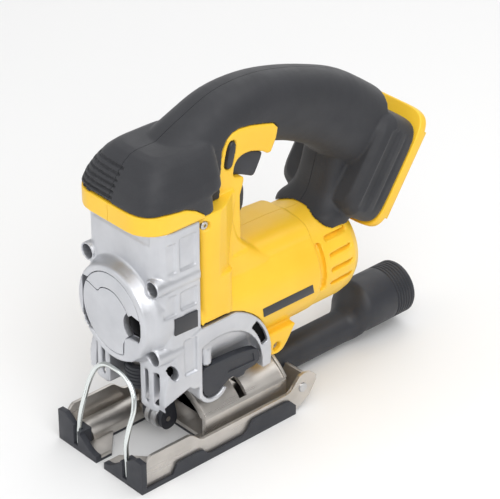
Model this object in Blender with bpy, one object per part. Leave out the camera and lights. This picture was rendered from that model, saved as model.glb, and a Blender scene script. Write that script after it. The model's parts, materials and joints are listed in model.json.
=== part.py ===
"""Cordless jigsaw with a D-handle: +X towards the blade, +Y the tool's left, +Z up, origin under the shoe."""

import math

import bmesh
import bpy
from mathutils import Matrix, Vector

# Driving dimensions, in millimetres.
GAP = 0.3  # between pieces that touch
RUN = 0.25  # between pieces that turn or slide
WALL = 3.0  # plastic wall

SHOE_FRONT = 67.5
SHOE_FLAT_REAR = -52.5
SHOE_HALF = 37.5
SOLE = 1.5
PLATE = 2.5
FLANGE = 2.0
FLANGE_HIGH = 20.0
FLANGE_LOW = 15.0
SLOT_HALF = 3.5
OPENING_HALF = 18.0
OPENING_FRONT = 43.0
OPENING_REAR = 9.0
WIRE_R = 1.5
WIRE_HALF = 22.0

CRADLE_R = 37.0
CRADLE_WALL = 3.0
CRADLE_HALF = 30.0
CRADLE_FRONT = 13.5
CRADLE_REAR = -49.5
TOOL_CLEAR = 44.0  # radius about the bevel axis that the tool's underside keeps
FOOT_HALF = 12.0
BEVEL_BOLT_R = 2.4
BEVEL_BOLT_X = -17.0
BEVEL_RANGE = 45.0  # degrees each way

MOTOR_Z = 81.5
BARREL_R = 33.3
BARREL_REAR = -112.5
STATOR_R = 29.5
STATOR_LENGTH = 46.0
STATOR_FRONT = -26.0
ROTOR_R = 16.5
SHAFT_R = 4.0
BEARING_R = 9.0
BEARING_WIDE = 6.0

CASE_FRONT = 47.5
CASE_REAR = 17.8
CASE_HALF = 31.5
CASE_TOP = 156.0
CASE_LOW = 40.8
CHEEK_INNER = 13.7
BOSS_R = 29.5
BOSS_FRONT = 55.5
BOSS_Z = 98.0
LEVER_R = 24.6
LEVER_THICK = 4.6
LEVER_PIN_X = 53.1
LEVER_PIN_Y = -20.0
LEVER_RELIEF = 18.4  # how far below the boss's centre the hinge's groove runs
LEVER_HEEL = 20.6  # and the notch beside it, which the opening lever's rim passes
BEVEL_PIN_X = 12.0
BEVEL_PIN_Y = 29.6
BEVEL_LEVER_TOP = 59.5
RECESS_FRONT = 18.8  # where the recess for the bevel lever starts
ARCH_X = 6.0
ARCH_Z = 47.0
ARCH_R = 40.0
NECK_REAR = -24.0
NECK_TOP = 157.0

TOOTH = 1.0  # gear module
PINION_TEETH = 12
GEAR_TEETH = 52
GEAR_BACK = 19.6
GEAR_WIDE = 5.6
AXLE_R = 4.0
CRANK_R = 13.0
CRANK_PIN_R = 3.0
PLUNGER_X = 36.0
PLUNGER_R = 4.5
BUSH_R = 7.5
YOKE_TALL = 11.0
YOKE_HALF = 20.5
YOKE_BACK = 30.6
CLAMP_R = 9.0
CLAMP_LOW = 43.5
CLAMP_TALL = 15.0

SELECTOR_X = 33.0
SELECTOR_Z = 58.0
SELECTOR_SHAFT_R = 3.0
ROLLER_X = 24.0
ROLLER_Z = 16.0
ROLLER_R = 7.5
FORK_PIVOT_X = 22.6
FORK_PIVOT_Z = 54.0

CAP_ROOM = 60.0  # half width of the cutters that pass right through the handle
BAND_LOW = 156.3
BAND_HIGH = 168.0
BAND_REAR = CASE_REAR - 4.0
BAND_HALF = 33.0
HANDLE_HALF = 18.5
PANEL_HALF = 19.2
FOOT_TILT = math.atan2(0.55, 0.835)  # of the battery plate from the vertical
FOOT_LENGTH = 62.0
FOOT_THICK = 28.0
FOOT_WIDE = 31.5
FOOT_MID = (-135.5, 126.0)  # middle of the foot's rear plane, as X and Z
PLATE_THICK = 6.0

TUBE_R = 10.3
TUBE_BORE = 8.6
TUBE_Z = 12.6
PORT_R = 17.1
PORT_BORE = 15.2
PORT_Z = 22.1
PORT_REAR = -171.5
PORT_LENGTH = 31.0

GEAR_Z = MOTOR_Z + TOOTH * (PINION_TEETH + GEAR_TEETH) / 2.0
GEAR_PLATE_FRONT = CASE_REAR - 0.6
GEAR_PLATE_THICK = 5.6
GEAR_PLATE_R = 18.0


def clear_scene():
    for obj in list(bpy.data.objects):
        bpy.data.objects.remove(obj, do_unlink=True)


def material(name, colour, roughness, metallic=0.0):
    found = bpy.data.materials.get(name) or bpy.data.materials.new(name)
    found.use_nodes = True
    shader = found.node_tree.nodes["Principled BSDF"]
    shader.inputs["Base Color"].default_value = (*colour, 1.0)
    shader.inputs["Roughness"].default_value = roughness
    shader.inputs["Metallic"].default_value = metallic
    return found


def yellow():
    return material("yellow_plastic", (0.95, 0.62, 0.03), 0.45)


def black():
    return material("black_rubber", (0.03, 0.03, 0.035), 0.75)


def nylon():
    return material("black_nylon", (0.04, 0.04, 0.045), 0.5)


def cast():
    return material("cast_aluminium", (0.6, 0.61, 0.63), 0.4, 0.9)


def steel():
    return material("steel", (0.5, 0.49, 0.48), 0.35, 1.0)


def zinc():
    return material("bright_zinc", (0.75, 0.77, 0.78), 0.25, 1.0)


def copper():
    return material("copper", (0.72, 0.38, 0.2), 0.4, 1.0)


def bronze():
    return material("bronze", (0.6, 0.42, 0.2), 0.4, 1.0)


def dark_label():
    return material("label_plate", (0.08, 0.08, 0.1), 0.4)


def place(name, shape, finish, origin=(0.0, 0.0, 0.0)):
    """Makes the object from a bmesh in millimetres, with its own origin at that point."""
    bmesh.ops.recalc_face_normals(shape, faces=shape.faces[:])
    start = Vector(origin)
    bmesh.ops.translate(shape, vec=-start, verts=shape.verts[:])
    bmesh.ops.scale(shape, vec=(0.001, 0.001, 0.001), verts=shape.verts[:])
    mesh = bpy.data.meshes.new(name)
    shape.to_mesh(mesh)
    shape.free()
    mesh.shade_smooth()
    mesh.set_sharp_from_angle(angle=math.radians(35))
    obj = bpy.data.objects.new(name, mesh)
    obj.location = start * 0.001
    bpy.context.scene.collection.objects.link(obj)
    if finish:
        mesh.materials.append(finish)
    else:
        obj.hide_render = True
        obj.display_type = "WIRE"
    return obj


def helper(name, shape):
    """An object that only cuts or joins others."""
    return place("shape_" + name, shape, None)


def combine(obj, operation, *others):
    for other in others:
        step = obj.modifiers.new(other.name, "BOOLEAN")
        step.operation = operation
        step.solver = "EXACT"
        step.object = other
    return obj


def cut(obj, *others):
    return combine(obj, "DIFFERENCE", *others)


def join(obj, *others):
    return combine(obj, "UNION", *others)


def loft(rings, closed=False):
    """Skins rings of points that hold the same number each, capping the ends unless it closes on itself."""
    shape = bmesh.new()
    loops = [[shape.verts.new(point) for point in ring] for ring in rings]
    count = len(loops[0])
    pairs = list(zip(loops, loops[1:])) + ([(loops[-1], loops[0])] if closed else [])
    for low, high in pairs:
        for i in range(count):
            j = (i + 1) % count
            shape.faces.new((low[i], low[j], high[j], high[i]))
    if not closed:
        shape.faces.new(loops[0][::-1])
        shape.faces.new(loops[-1])
    return shape


def ring(centre, across, up, half_across, half_up, power=2.0, count=20):
    """A rounded outline: power 2 is an ellipse, and higher powers are squarer."""
    middle, u, v = Vector(centre), Vector(across), Vector(up)
    points = []
    for i in range(count):
        angle = 2.0 * math.pi * (i + 0.5) / count
        c, s = math.cos(angle), math.sin(angle)
        wide = half_across * math.copysign(abs(c) ** (2.0 / power), c)
        tall = half_up * math.copysign(abs(s) ** (2.0 / power), s)
        points.append(middle + u * wide + v * tall)
    return points


def level_ring(front, rear, half, z, corner, steps=3):
    """A level rectangle with rounded corners, as points."""
    outline = arc(front - corner, half - corner, corner, 0, 90, steps)
    outline += arc(rear + corner, half - corner, corner, 90, 180, steps)
    outline += arc(rear + corner, corner - half, corner, 180, 270, steps)
    outline += arc(front - corner, corner - half, corner, 270, 360, steps)
    return [Vector((x, y, z)) for x, y in outline]


AXES = {
    "X": (Vector((0, 1, 0)), Vector((0, 0, 1)), Vector((1, 0, 0))),
    "Y": (Vector((0, 0, 1)), Vector((1, 0, 0)), Vector((0, 1, 0))),
    "Z": (Vector((1, 0, 0)), Vector((0, 1, 0)), Vector((0, 0, 1))),
}


def turned(axis, centre, profile, count=24, closed=False):
    """Rings about an axis: the profile is (place along the axis, radius) pairs measured from the centre."""
    u, v, along = AXES[axis]
    middle = Vector(centre)
    rings = [ring(middle + along * at, u, v, r, r, count=count) for at, r in profile]
    return loft(rings, closed)


def rod(axis, centre, radius, low, high, count=16):
    return turned(axis, centre, [(low, radius), (high, radius)], count)


def sleeve(axis, centre, outer, inner, low, high, count=20):
    return turned(axis, centre, [(low, outer), (high, outer), (high, inner), (low, inner)], count, True)


def box(low, high, edge=0.0, steps=1):
    shape = bmesh.new()
    bmesh.ops.create_cube(shape, size=1.0)
    size = [b - a for a, b in zip(low, high)]
    bmesh.ops.scale(shape, vec=size, verts=shape.verts[:])
    bmesh.ops.translate(shape, vec=[(a + b) / 2 for a, b in zip(low, high)], verts=shape.verts[:])
    if edge:
        bmesh.ops.bevel(
            shape, geom=shape.edges[:], offset=edge, segments=steps, profile=0.5, affect="EDGES"
        )
    return shape


def slab(axis, outline, low, high):
    """An outline pushed along an axis: X takes (y, z) points, Y takes (x, z) and Z takes (x, y)."""
    fill = {
        "X": lambda p, t: (t, p[0], p[1]), "Y": lambda p, t: (p[0], t, p[1]), "Z": lambda p,
        t: (p[0], p[1], t),
    }
    return loft([[fill[axis](p, low) for p in outline], [fill[axis](p, high) for p in outline]])


def arc(cx, cy, radius, start, end, steps):
    """Points on an arc, in degrees."""
    turn = [math.radians(start + (end - start) * i / steps) for i in range(steps + 1)]
    return [(cx + radius * math.cos(a), cy + radius * math.sin(a)) for a in turn]


def mirrored(outline):
    """An outline with its own reflection in the first coordinate added, in order."""
    return outline + [(-a, b) for a, b in reversed(outline)]


# Outer forms that more than one piece is cut by.


def barrel_form(grow=0.0):
    r = BARREL_R + grow
    rear = BARREL_REAR - grow
    profile = [(rear, r - 11), (rear + 3, r - 5), (rear + 9, r - 1.2), (rear + 16, r), (CASE_REAR - 0.6, r)]
    return turned("X", (0, 0, MOTOR_Z), profile, 32)


def neck_form(grow=0.0):
    """The yellow block behind the gear case, which narrows upwards to the trigger panel."""
    rings = []
    for z, rear, half in (
        (MOTOR_Z, -8.0, 33.4), (112.0, -8.0, 33.4), (140.0, -16.0, 33.0), (NECK_TOP, -18.0, 32.0)
    ):
        lift = grow if z == NECK_TOP else 0.0
        rings.append(level_ring(CASE_REAR - 0.6 + grow, rear - grow, half + grow, z + lift, 5.0))
    return loft(rings)


def panel_form(half=PANEL_HALF):
    """The trigger panel that climbs from the neck into the handle's underside and arches over the trigger."""
    front = [
        (-2, 116), (-2, 150), (-8, 157), (-11, 175), (-16.5, 187), (-23.5, 191), (-42, 187.5), (-49, 184),
    ]
    arch = [
        (-47.5, 169), (-41, 171.5), (-34, 174.5), (-26, 175.5), (-19.5, 171.5), (-18.5, 164),
        (-26.5, 161.5),
    ]
    return slab("Y", front + arch + [(NECK_REAR + 0.5, 151), (NECK_REAR, 116)], -half, half)


def panel_clearance():
    """The room the handle keeps for the panel and the trigger."""
    g = GAP
    front = [
        (-2 + g, 116), (-2 + g, 150), (-8 + g, 157 - g), (-11 + g, 175), (-16.5 + g, 187 + g),
        (-23.5, 191 + g),
    ]
    rear = [
        (-42, 187.5 + g), (-49 - g, 184 + g), (-46 - g, 163 - g), (-27 - g, 158 - g), (NECK_REAR - g, 116),
    ]
    return slab("Y", front + rear, -CAP_ROOM, CAP_ROOM)


def band_edge(lift):
    """The band's upper edge seen from the side, which falls towards the neck."""
    points = (
        (BAND_REAR - 1, NECK_TOP + 0.2), (14.5, 158.6), (20.0, 162.8), (27.0, 166.0), (42.5, BAND_HIGH),
    )
    return [(x, z + lift) for x, z in (*points, (60, BAND_HIGH))]


def band_outline(inset=0.0):
    half, front, corner = BAND_HALF - inset, BOSS_FRONT - inset, 13.0
    bend = arc(front - corner, half - corner, corner, 0, 90, 4)
    side = [(x, y) for x, y in bend] + [(BAND_REAR + inset, half)]
    return side + [(x, -y) for x, y in reversed(side)]


def band_form():
    return slab("Z", band_outline(), BAND_LOW, BAND_HIGH)


def arch_form(grow=0.0):
    return rod("Y", (ARCH_X, 0, ARCH_Z), ARCH_R + grow, -60, 60, 40)


# Stations of the handle: centre X and Z, direction in degrees above -X, half height, half width.
HANDLE_PATH = (
    (30, 174, 22, 12.5, HANDLE_HALF + 0.5),
    (14, 178.5, 22, 16, HANDLE_HALF + 0.5),
    (-4, 184, 20, 18.5, HANDLE_HALF + 0.5),
    (-24, 189.5, 9, 21.2, HANDLE_HALF + 0.5),
    (-45, 190.8, -6, 21.2, HANDLE_HALF),
    (-66, 186.5, -15, 20.8, HANDLE_HALF),
    (-88, 178.5, -23, 22, HANDLE_HALF + 1.0),
    (-108, 168, -32, 24, HANDLE_HALF + 4.0),
    (-127, 151, -34, 27, HANDLE_HALF + 7.0),
)


def handle_form(inset=0.0):
    rings = []
    for i, (x, z, rise, half_up, half_across) in enumerate(HANDLE_PATH):
        angle = math.radians(rise)
        up = (math.sin(angle), 0, math.cos(angle))
        shift = inset if i == 0 else 0.0
        rings.append(ring((x - shift, 0, z), (0, 1, 0), up, half_across - inset, half_up - inset, 2.5, 20))
    return loft(rings)


def cap_form(inset=0.0):
    """The cover over the gear case: level outlines stacked from the band to its flat top."""
    levels = (
        (BAND_HIGH + GAP, 55.0, 32.6),
        (171.0, 54.2, 32.0),
        (178.0, 49.5, 28.8),
        (184.0, 43.5, 24.6),
        (187.6, 38.0, 20.6),
        (189.0, 34.0, 18.0),
    )
    rear = -6.0
    rings = []
    for z, front, half in levels:
        low = -2.0 * inset if z == levels[0][0] else -0.4 * inset
        x = (front + rear) / 2
        rings.append(
            ring((x, 0, z + low), (1, 0, 0), (0, 1, 0), (front - rear) / 2 - inset, half - inset, 4.5, 24)
        )
    return loft(rings)


def cap_skirt_form(inset=0.0):
    """Where the cap comes down behind the band onto the neck."""
    front, base = 44.0, NECK_TOP + GAP
    levels = (
        (base, -17.0, 32.5), (base + 11, -17.0, 32.4), (base + 17, -16.0, 28.6), (base + 26, -14.0, 20.0),
    )
    rings = []
    for z, rear, half in levels:
        low = -3.0 * inset if z == base else -0.5 * inset
        rings.append(level_ring(front + inset, rear + inset, half - inset, z + low, 5.0))
    return loft(rings)


def foot_frame():
    """Directions of the battery foot: down along it, and out of its rear face."""
    down = Vector((math.sin(FOOT_TILT), 0, -math.cos(FOOT_TILT)))
    out = Vector((-math.cos(FOOT_TILT), 0, -math.sin(FOOT_TILT)))
    return Vector((FOOT_MID[0], 0, FOOT_MID[1])), down, out


def foot_slab(start, end, half_long, half_wide, shift=0.0, power=7.0):
    """A rounded slab across the foot, between two distances out of its rear plane."""
    middle, down, out = foot_frame()
    return loft(
        [
            ring(middle + out * at + down * shift, down, (0, 1, 0), half_long, half_wide, power, 24)
            for at in (start, end)
        ]
    )


def foot_box(start, end, low, high, left, right):
    """A plain block in the foot's own directions."""
    middle, down, out = foot_frame()
    rings = []
    for at in (start, end):
        corners = ((low, left), (high, left), (high, right), (low, right))
        rings.append([middle + out * at + down * a + Vector((0, b, 0)) for a, b in corners])
    return loft(rings)


def foot_form(inset=0.0):
    middle, down, out = foot_frame()
    rings = []
    for at, shrink in ((0.0, 0.0), (-FOOT_THICK + 7, 0.0), (-FOOT_THICK, 4.0)):
        start = at + (inset if at < 0 else 1.5 * inset)
        half = (FOOT_LENGTH / 2 - shrink - inset, FOOT_WIDE - shrink - inset)
        rings.append(ring(middle + out * start, down, (0, 1, 0), *half, 7.0, 24))
    return loft(rings)


def post_form(inset=0.0):
    """The rear post between the handle and the motor barrel."""
    rings = []
    for z, front, rear, half in (
        (104.0, -80.0, -112.0, 24.0),
        (112.0, -78.0, -116.0, 23.0),
        (120.0, -81.0, -120.0, 20.0),
        (134.0, -85.5, -122.0, 17.5),
        (148.0, -91.5, -124.0, 17.5),
        (162.0, -99.0, -124.0, 18.5),
    ):
        centre = ((front + rear) / 2, 0, z)
        half_x = (front - rear) / 2 - inset
        rings.append(ring(centre, (1, 0, 0), (0, 1, 0), half_x, half - inset, 3.0, 20))
    return loft(rings)


def side_block(side):
    """The half space that one clamshell half keeps."""
    near, far = GAP / 2 * side, 60.0 * side
    return box((-220, min(near, far), -20), (100, max(near, far), 260))


SIDES = (("left", 1.0), ("right", -1.0))


def make_housing():
    """The yellow clamshell: motor barrel, neck, trigger panel and the band round the cap."""
    neck, panel, band = helper("neck", neck_form()), helper(
        "panel", panel_form()
    ), helper("band", band_form())
    slope = helper("band_slope", slab("Y", [*band_edge(0.0), (60, 180), (BAND_REAR - 1, 180)], -60, 60))
    bore = helper("motor_bore", rod("X", (0, 0, MOTOR_Z), STATOR_R + 0.5, BARREL_REAR + WALL + 4, 40, 32))
    hollow, plate_room = neck_hollow(), helper("plate_room", plate_form(GAP))
    arch = helper("arch_clearance", arch_form(GAP))
    skirt = helper("skirt_clearance", box((ARCH_X - ARCH_R - GAP, -60, 20), (60, 60, ARCH_Z + 0.5)))
    case = helper("case_clearance", box((CASE_REAR - GAP, -60, 20), (90, 60, CASE_TOP)))
    top = helper("band_hollow", slab("Z", band_outline(4.0), BAND_LOW - 2, BAND_HIGH + 3))
    room = helper(
        "switch_room", box((NECK_REAR + WALL, -PANEL_HALF + WALL, 118), (-5, PANEL_HALF - WALL, 196))
    )
    trigger = helper("trigger_room", box((-60, WALL - PANEL_HALF, 159.5), (-17.5, PANEL_HALF - WALL, 196)))
    vents = vent_cutters()
    lug = helper(
        "lug",
        slab("Y", [(-56, 56), (-48, 46), (-46, 44.4), (-38, 44.4), (-34.5, 48), (-34, 56)], -28.0, 28.0),
    )
    for word, side in SIDES:
        half = helper("housing_half_" + word, side_block(side))
        shell = place("housing_" + word, barrel_form(), yellow())
        join(shell, neck, panel, band, lug)
        combine(shell, "INTERSECT", half)
        cut(shell, slope, bore, hollow, plate_room, arch, skirt, case, top, room, trigger, *vents)
        slot = helper("lock_slot_" + word, lock_form(RUN + 0.1))
        cut(
            shell, slot,
            *[
                helper(f"boss_{word}_{i}", rod("Y", (x, 0, z), 1.9, -60, 60, 10))
                for i, (x, z, _) in enumerate(HOUSING_SCREWS)
            ],
        )


def neck_hollow():
    rings = []
    for z, rear, half in ((101.0, -8.0, 28.6), (141.0, -16.0, 28.6), (NECK_TOP + 20, -20.0, 15.6)):
        rings.append(level_ring(40.0, rear + WALL, half, z, 2.5))
    return helper("neck_hollow", loft(rings))


def vent_cutters():
    """Air slots through both sides of the barrel near its rear end."""
    found = [helper("vent_long", box((-72.2, -60, 77), (-69.2, 60, 104)))]
    for i in range(4):
        low = 80.0 + 7.0 * i
        found.append(helper(f"vent_{i}", box((-93.0, -60, low), (-81.0, 60, low + 2.2))))
    return found


HOUSING_SCREWS = ((13.0, 150.5, 33.0), (-42.0, 47.6, 27.6), (-100.0, 98.0, 24.0))  # X, Z, half length


def make_handle():
    """The black clamshell: cap, handle, rear post and battery foot, hollow inside."""
    outer = [
        helper("cap", cap_form()), helper("cap_skirt", cap_skirt_form()), helper("post", post_form()),
        helper("foot", foot_form()),
    ]
    inner = [
        helper("handle_hollow", handle_form(WALL + 1)),
        helper("cap_hollow", cap_form(WALL)),
        helper("cap_skirt_hollow", cap_skirt_form(WALL)),
        helper("post_hollow", post_form(WALL + 1)),
        helper("foot_hollow", foot_form(WALL + 1)),
        helper("foot_mouth", foot_slab(-12, 6, FOOT_LENGTH / 2 - 9, FOOT_WIDE - 9)),
    ]
    around = [
        helper("barrel_clearance", barrel_form(GAP)),
        helper("neck_clearance", neck_form(GAP)),
        helper("panel_clearance", panel_clearance()),
        helper("band_clearance", slab("Y", [(BAND_REAR - 1, 90), *band_edge(GAP), (60, 90)], -60, 60)),
    ]
    for word, side in SIDES:
        half = helper("handle_half_" + word, side_block(side))
        shell = place("handle_" + word, handle_form(), black())
        join(shell, *outer)
        cut(shell, *inner, *around)
        combine(shell, "INTERSECT", half)


def trigger_form():
    """The finger paddle under the handle."""
    half = PANEL_HALF - WALL - 0.8
    outline = [
        (-19.6, 164.5), (-19, 170.5), (-26, 174.6), (-34, 173.4), (-42.5, 170), (-43, 167), (-36.5, 156.5),
        (-27.4, 160.6),
    ]
    return slab("Y", outline, -half, half)


def lock_form(grow=0.0):
    """The oblong cross-bolt ahead of the trigger."""
    middle, lean = Vector((-16.2, 0, 178.5)), math.radians(14)
    up = Vector((-math.sin(lean), 0, math.cos(lean)))
    side = Vector((math.cos(lean), 0, math.sin(lean)))
    span = PANEL_HALF + 1.2 + (20.0 if grow else 0.0)
    rings = [
        ring(middle + Vector((0, y, 0)), up, side, 8.0 + grow, 2.7 + grow, 3.0, 16) for y in (-span, span)
    ]
    return loft(rings)


def make_controls():
    pivot = (-20.5, 0, 169.5)
    place("trigger", trigger_form(), nylon(), pivot)
    place("lock_off_button", lock_form(), nylon(), (-16.2, 0, 178.5))
    place("switch_module", box((-40, -11, 184.0), (-21, 11, 197.0), 1.5), nylon())
    place("electronics_module", box((-92, -9, 176), (-66, 9, 186), 1.0), dark_label())


def make_battery_interface():
    plate = place("battery_plate", foot_slab(GAP, GAP + PLATE_THICK, 38.0, FOOT_WIDE + 1.5, -3.0), yellow())
    rails = []
    for word, side in SIDES:
        inner, outer, lip = 23.0 * side, 28.0 * side, 19.5 * side
        start = GAP + PLATE_THICK - 1
        rails.append(
            helper(
                "rail_" + word, foot_box(start, start + 8.0, -30, 26, min(inner, outer), max(inner, outer))
            ),
        )
        rails.append(
            helper(
                "rail_lip_" + word,
                foot_box(start + 5.0, start + 8.0, -30, 26, min(lip, inner), max(lip, inner)),
            )
        )
    join(plate, *rails)
    cut(plate, helper("terminal_window", foot_box(-20, 40, -14, 16, -13, 13)))
    block = place("terminal_block", foot_box(-6.0, 9.0, -13.5, 15.5, -12.5, 12.5), nylon())
    cut(
        block,
        *[
            helper(f"contact_slot_{i}", foot_box(3.0, 12.0, -10, 18, y - 1.2, y + 1.2))
            for i, y in enumerate((-8, 0, 8))
        ],
    )


def make_gear_case():
    """The cast front: block, round boss, cheeks beside the blade and the saddle under the motor."""
    side = [(CASE_HALF, TOOL_CLEAR), (CASE_HALF + 1.0, CASE_TOP)]
    block = slab("X", mirrored(side), CASE_REAR, CASE_FRONT)
    case = place("gear_case", block, cast())
    boss = helper(
        "boss",
        turned(
            "X", (0, 0, BOSS_Z), [(40, BOSS_R), (BOSS_FRONT - 1.5, BOSS_R), (BOSS_FRONT, BOSS_R - 1.5)], 36
        ),
    )
    saddle = helper("saddle", rod("Y", (ARCH_X, 0, ARCH_Z), ARCH_R, -CASE_HALF - 1.5, CASE_HALF + 1.5, 40))
    join(case, boss, saddle)
    gear_room = helper(
        "gear_room", box((-60, -28.6, MOTOR_Z + 3), (GEAR_BACK + GEAR_WIDE + 1.2, 28.6, GEAR_Z + 29.5))
    )
    upper_rear = helper("upper_rear", box((-60, -60, MOTOR_Z + 5.6), (CASE_REAR, 60, 120)))
    pinion_room = helper("pinion_room", rod("X", (0, 0, MOTOR_Z), 7.6, 0, GEAR_BACK + GEAR_WIDE + 1.2, 16))
    yoke_room = helper(
        "yoke_room", box((20, -YOKE_HALF - 1, GEAR_Z - 21.0), (44.2, YOKE_HALF + 1, GEAR_Z + 19.6))
    )
    clamp_room = helper("clamp_room", box((18.6, -CHEEK_INNER, 20), (46.2, CHEEK_INNER, 73.0)))
    mouth = helper("clamp_mouth", box((30, -CHEEK_INNER, 20), (90, CHEEK_INNER, BOSS_Z - BOSS_R)))
    bush = helper("bush_bore", rod("Z", (PLUNGER_X, 0, 0), BUSH_R + GAP / 2, 60, 170, 20))
    lever_room = helper(
        "lever_room", rod("X", (0, 0, BOSS_Z), LEVER_R + GAP, BOSS_FRONT - LEVER_THICK - GAP, 90, 36)
    )
    motor = helper("case_motor_bore", rod("X", (0, 0, MOTOR_Z), STATOR_R + 0.5, -90, CASE_REAR, 32))
    under = helper("under_case", rod("X", (0, 0, 0), TOOL_CLEAR, -90, 90, 40))
    room_x, room_z, room_r = ARCH_X - 2, ARCH_Z - 2, ARCH_R - 11.0
    turn = math.degrees(math.acos((RECESS_FRONT - room_x) / room_r))
    mouth_line = [(RECESS_FRONT, 20), *arc(room_x, room_z, room_r, turn, 180, 20), (room_x - room_r, 20)]
    recess = helper("lever_recess", slab("Y", mouth_line, 22.0, 60))
    lug_low, lug_high = (BEVEL_PIN_X - 4, 25.0, BEVEL_LEVER_TOP + GAP), (BEVEL_PIN_X + 4, 31.8, 73.5)
    lug = helper("bevel_lug", box(lug_low, lug_high))
    drum = helper("drum", rod("X", (0, 0, MOTOR_Z), BARREL_R - 0.5, ARCH_X - ARCH_R + 8, 16.0, 32))
    combine(drum, "INTERSECT", helper("drum_limit", arch_form(-1.0)))
    skirt = helper("case_skirt", box((-60, -60, 0), (90, 60, CASE_LOW)))
    cut(case, upper_rear, under, recess, skirt)
    join(case, helper("saddle_foot", box((-31, -FOOT_HALF, 30), (-3, FOOT_HALF, MOTOR_Z - 20))), drum, lug)
    cradle = helper("cradle_clearance", rod("X", (0, 0, 0), CRADLE_R + GAP, -90, 90, 40))
    cut(case, cradle, motor, gear_room, pinion_room, yoke_room, clamp_room, mouth, bush, lever_room)
    cut(case, helper("drum_top", box((-60, -60, MOTOR_Z + 5.6), (CASE_REAR - 0.1, 60, 120))))
    cut(case, helper("foot_bolt_hole", rod("Z", (BEVEL_BOLT_X, 0, 0), BEVEL_BOLT_R + GAP, 20, 49, 12)))
    cut(
        case,
        helper(
            "selector_hole", rod("Y", (SELECTOR_X, 0, SELECTOR_Z), SELECTOR_SHAFT_R + RUN, -60, -10, 14)
        ),
    )
    pin = (LEVER_PIN_X, LEVER_PIN_Y, 0)
    cut(case, helper("lever_relief", rod("Z", pin, 5.7, BOSS_Z - LEVER_RELIEF, BOSS_Z + 14.5, 16)))
    heel_low = (BOSS_FRONT - 1.0, LEVER_PIN_Y + 1.6, BOSS_Z - LEVER_HEEL)
    heel_high = (BOSS_FRONT + 4.0, LEVER_PIN_Y + 6.4, BOSS_Z - LEVER_RELIEF + 0.5)
    cut(case, helper("lever_heel_room", box(heel_low, heel_high)))
    cut(
        case,
        helper("lever_pin_seat", rod("Z", pin, 1.0 + GAP / 2, BOSS_Z - LEVER_RELIEF - 2.9, BOSS_Z, 10)),
    )
    cut(
        case, helper("bevel_pin_seat", rod("Z", (BEVEL_PIN_X, BEVEL_PIN_Y, 0), 1.5 + GAP / 2, 50, 71.0, 12))
    )
    for y, z in CASE_SCREWS:
        hole = rod("X", (0, y, z), 2.0 + GAP, CASE_SCREW_REAR - GAP, 60, 10)
        cut(case, helper(f"case_screw_hole_{y}_{z}", hole))
        cut(case, helper(f"case_screw_recess_{y}_{z}", rod("X", (0, y, z), 4.4, CASE_FRONT - 4, 60, 14)))
    return case


CASE_SCREWS = ((27.4, 123.0), (27.4, 78.6), (-27.4, 123.0), (-27.4, 78.6))  # Y, Z
CASE_SCREW_REAR = 28.0


def make_case_screws():
    for i, (y, z) in enumerate(CASE_SCREWS):
        profile = [
            (CASE_SCREW_REAR, 2.0), (
                CASE_FRONT - 4 + GAP, 2.0
            ), (CASE_FRONT - 4 + GAP, 4.0), (CASE_FRONT - 0.4, 4.0),
            (CASE_FRONT - 0.4, 2.0), (CASE_FRONT - 2.4, 2.0),
        ]
        place(f"case_screw_{i + 1}", turned("X", (0, y, z), profile, 12), steel())


def make_front_lever():
    """The disc in the boss: a fixed crescent above, and the blade release lever below."""
    low, high = BOSS_FRONT - LEVER_THICK, BOSS_FRONT - 0.2
    split = [
        (-24.9, 110), (-19, 109.5), (-12.2, 107.8), (-8.0, 111.6), (0, 112.8), (5.2, 111.4), (11.2, 107),
        (13.2, 104.5),
    ]
    notch = [(13.4, 106.0), (28.0, 106.0), (28.0, 89.0), (14.0, 88.8), (9.0, 95.0), (10.0, 101.5)]
    crescent = split + [(16.0, 107.5), (30.0, 103.0), (30.0, 128), (-30, 128)]
    disc = helper("lever_disc", rod("X", (0, 0, BOSS_Z), LEVER_R, low, high, 36))
    cover = place("lever_cover", slab("X", crescent, low, high), cast())
    combine(cover, "INTERSECT", disc)
    lever = place(
        "clamp_lever", rod("X", (0, 0, BOSS_Z), LEVER_R, low, high, 36), cast(),
        (LEVER_PIN_X, LEVER_PIN_Y, BOSS_Z),
    )
    wide = [(y, z - 0.5) for y, z in split] + [(40, 102.0), (40, 140), (-40, 140), (-40, 109.5)]
    cut(lever, helper("lever_split", slab("X", wide, low - 5, high + 5)))
    cut(lever, helper("lever_notch", slab("X", notch, low - 5, high + 5)))
    toe = helper(
        "lever_toe",
        slab("X", [(13.2, 89.6), (9.4, 82.0), (8.8, 70.0), (40, 70), (40, 92)], low - 5, high + 5),
    )
    cut(lever, toe)
    pin = (LEVER_PIN_X, LEVER_PIN_Y, 0)
    cut(lever, helper("lever_pin_hole", rod("Z", pin, 1.0 + RUN, 60, 140, 10)))
    place("lever_pin", rod("Z", pin, 1.0, BOSS_Z - LEVER_RELIEF - 2.6, BOSS_Z + 10.8, 10), steel())


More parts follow.
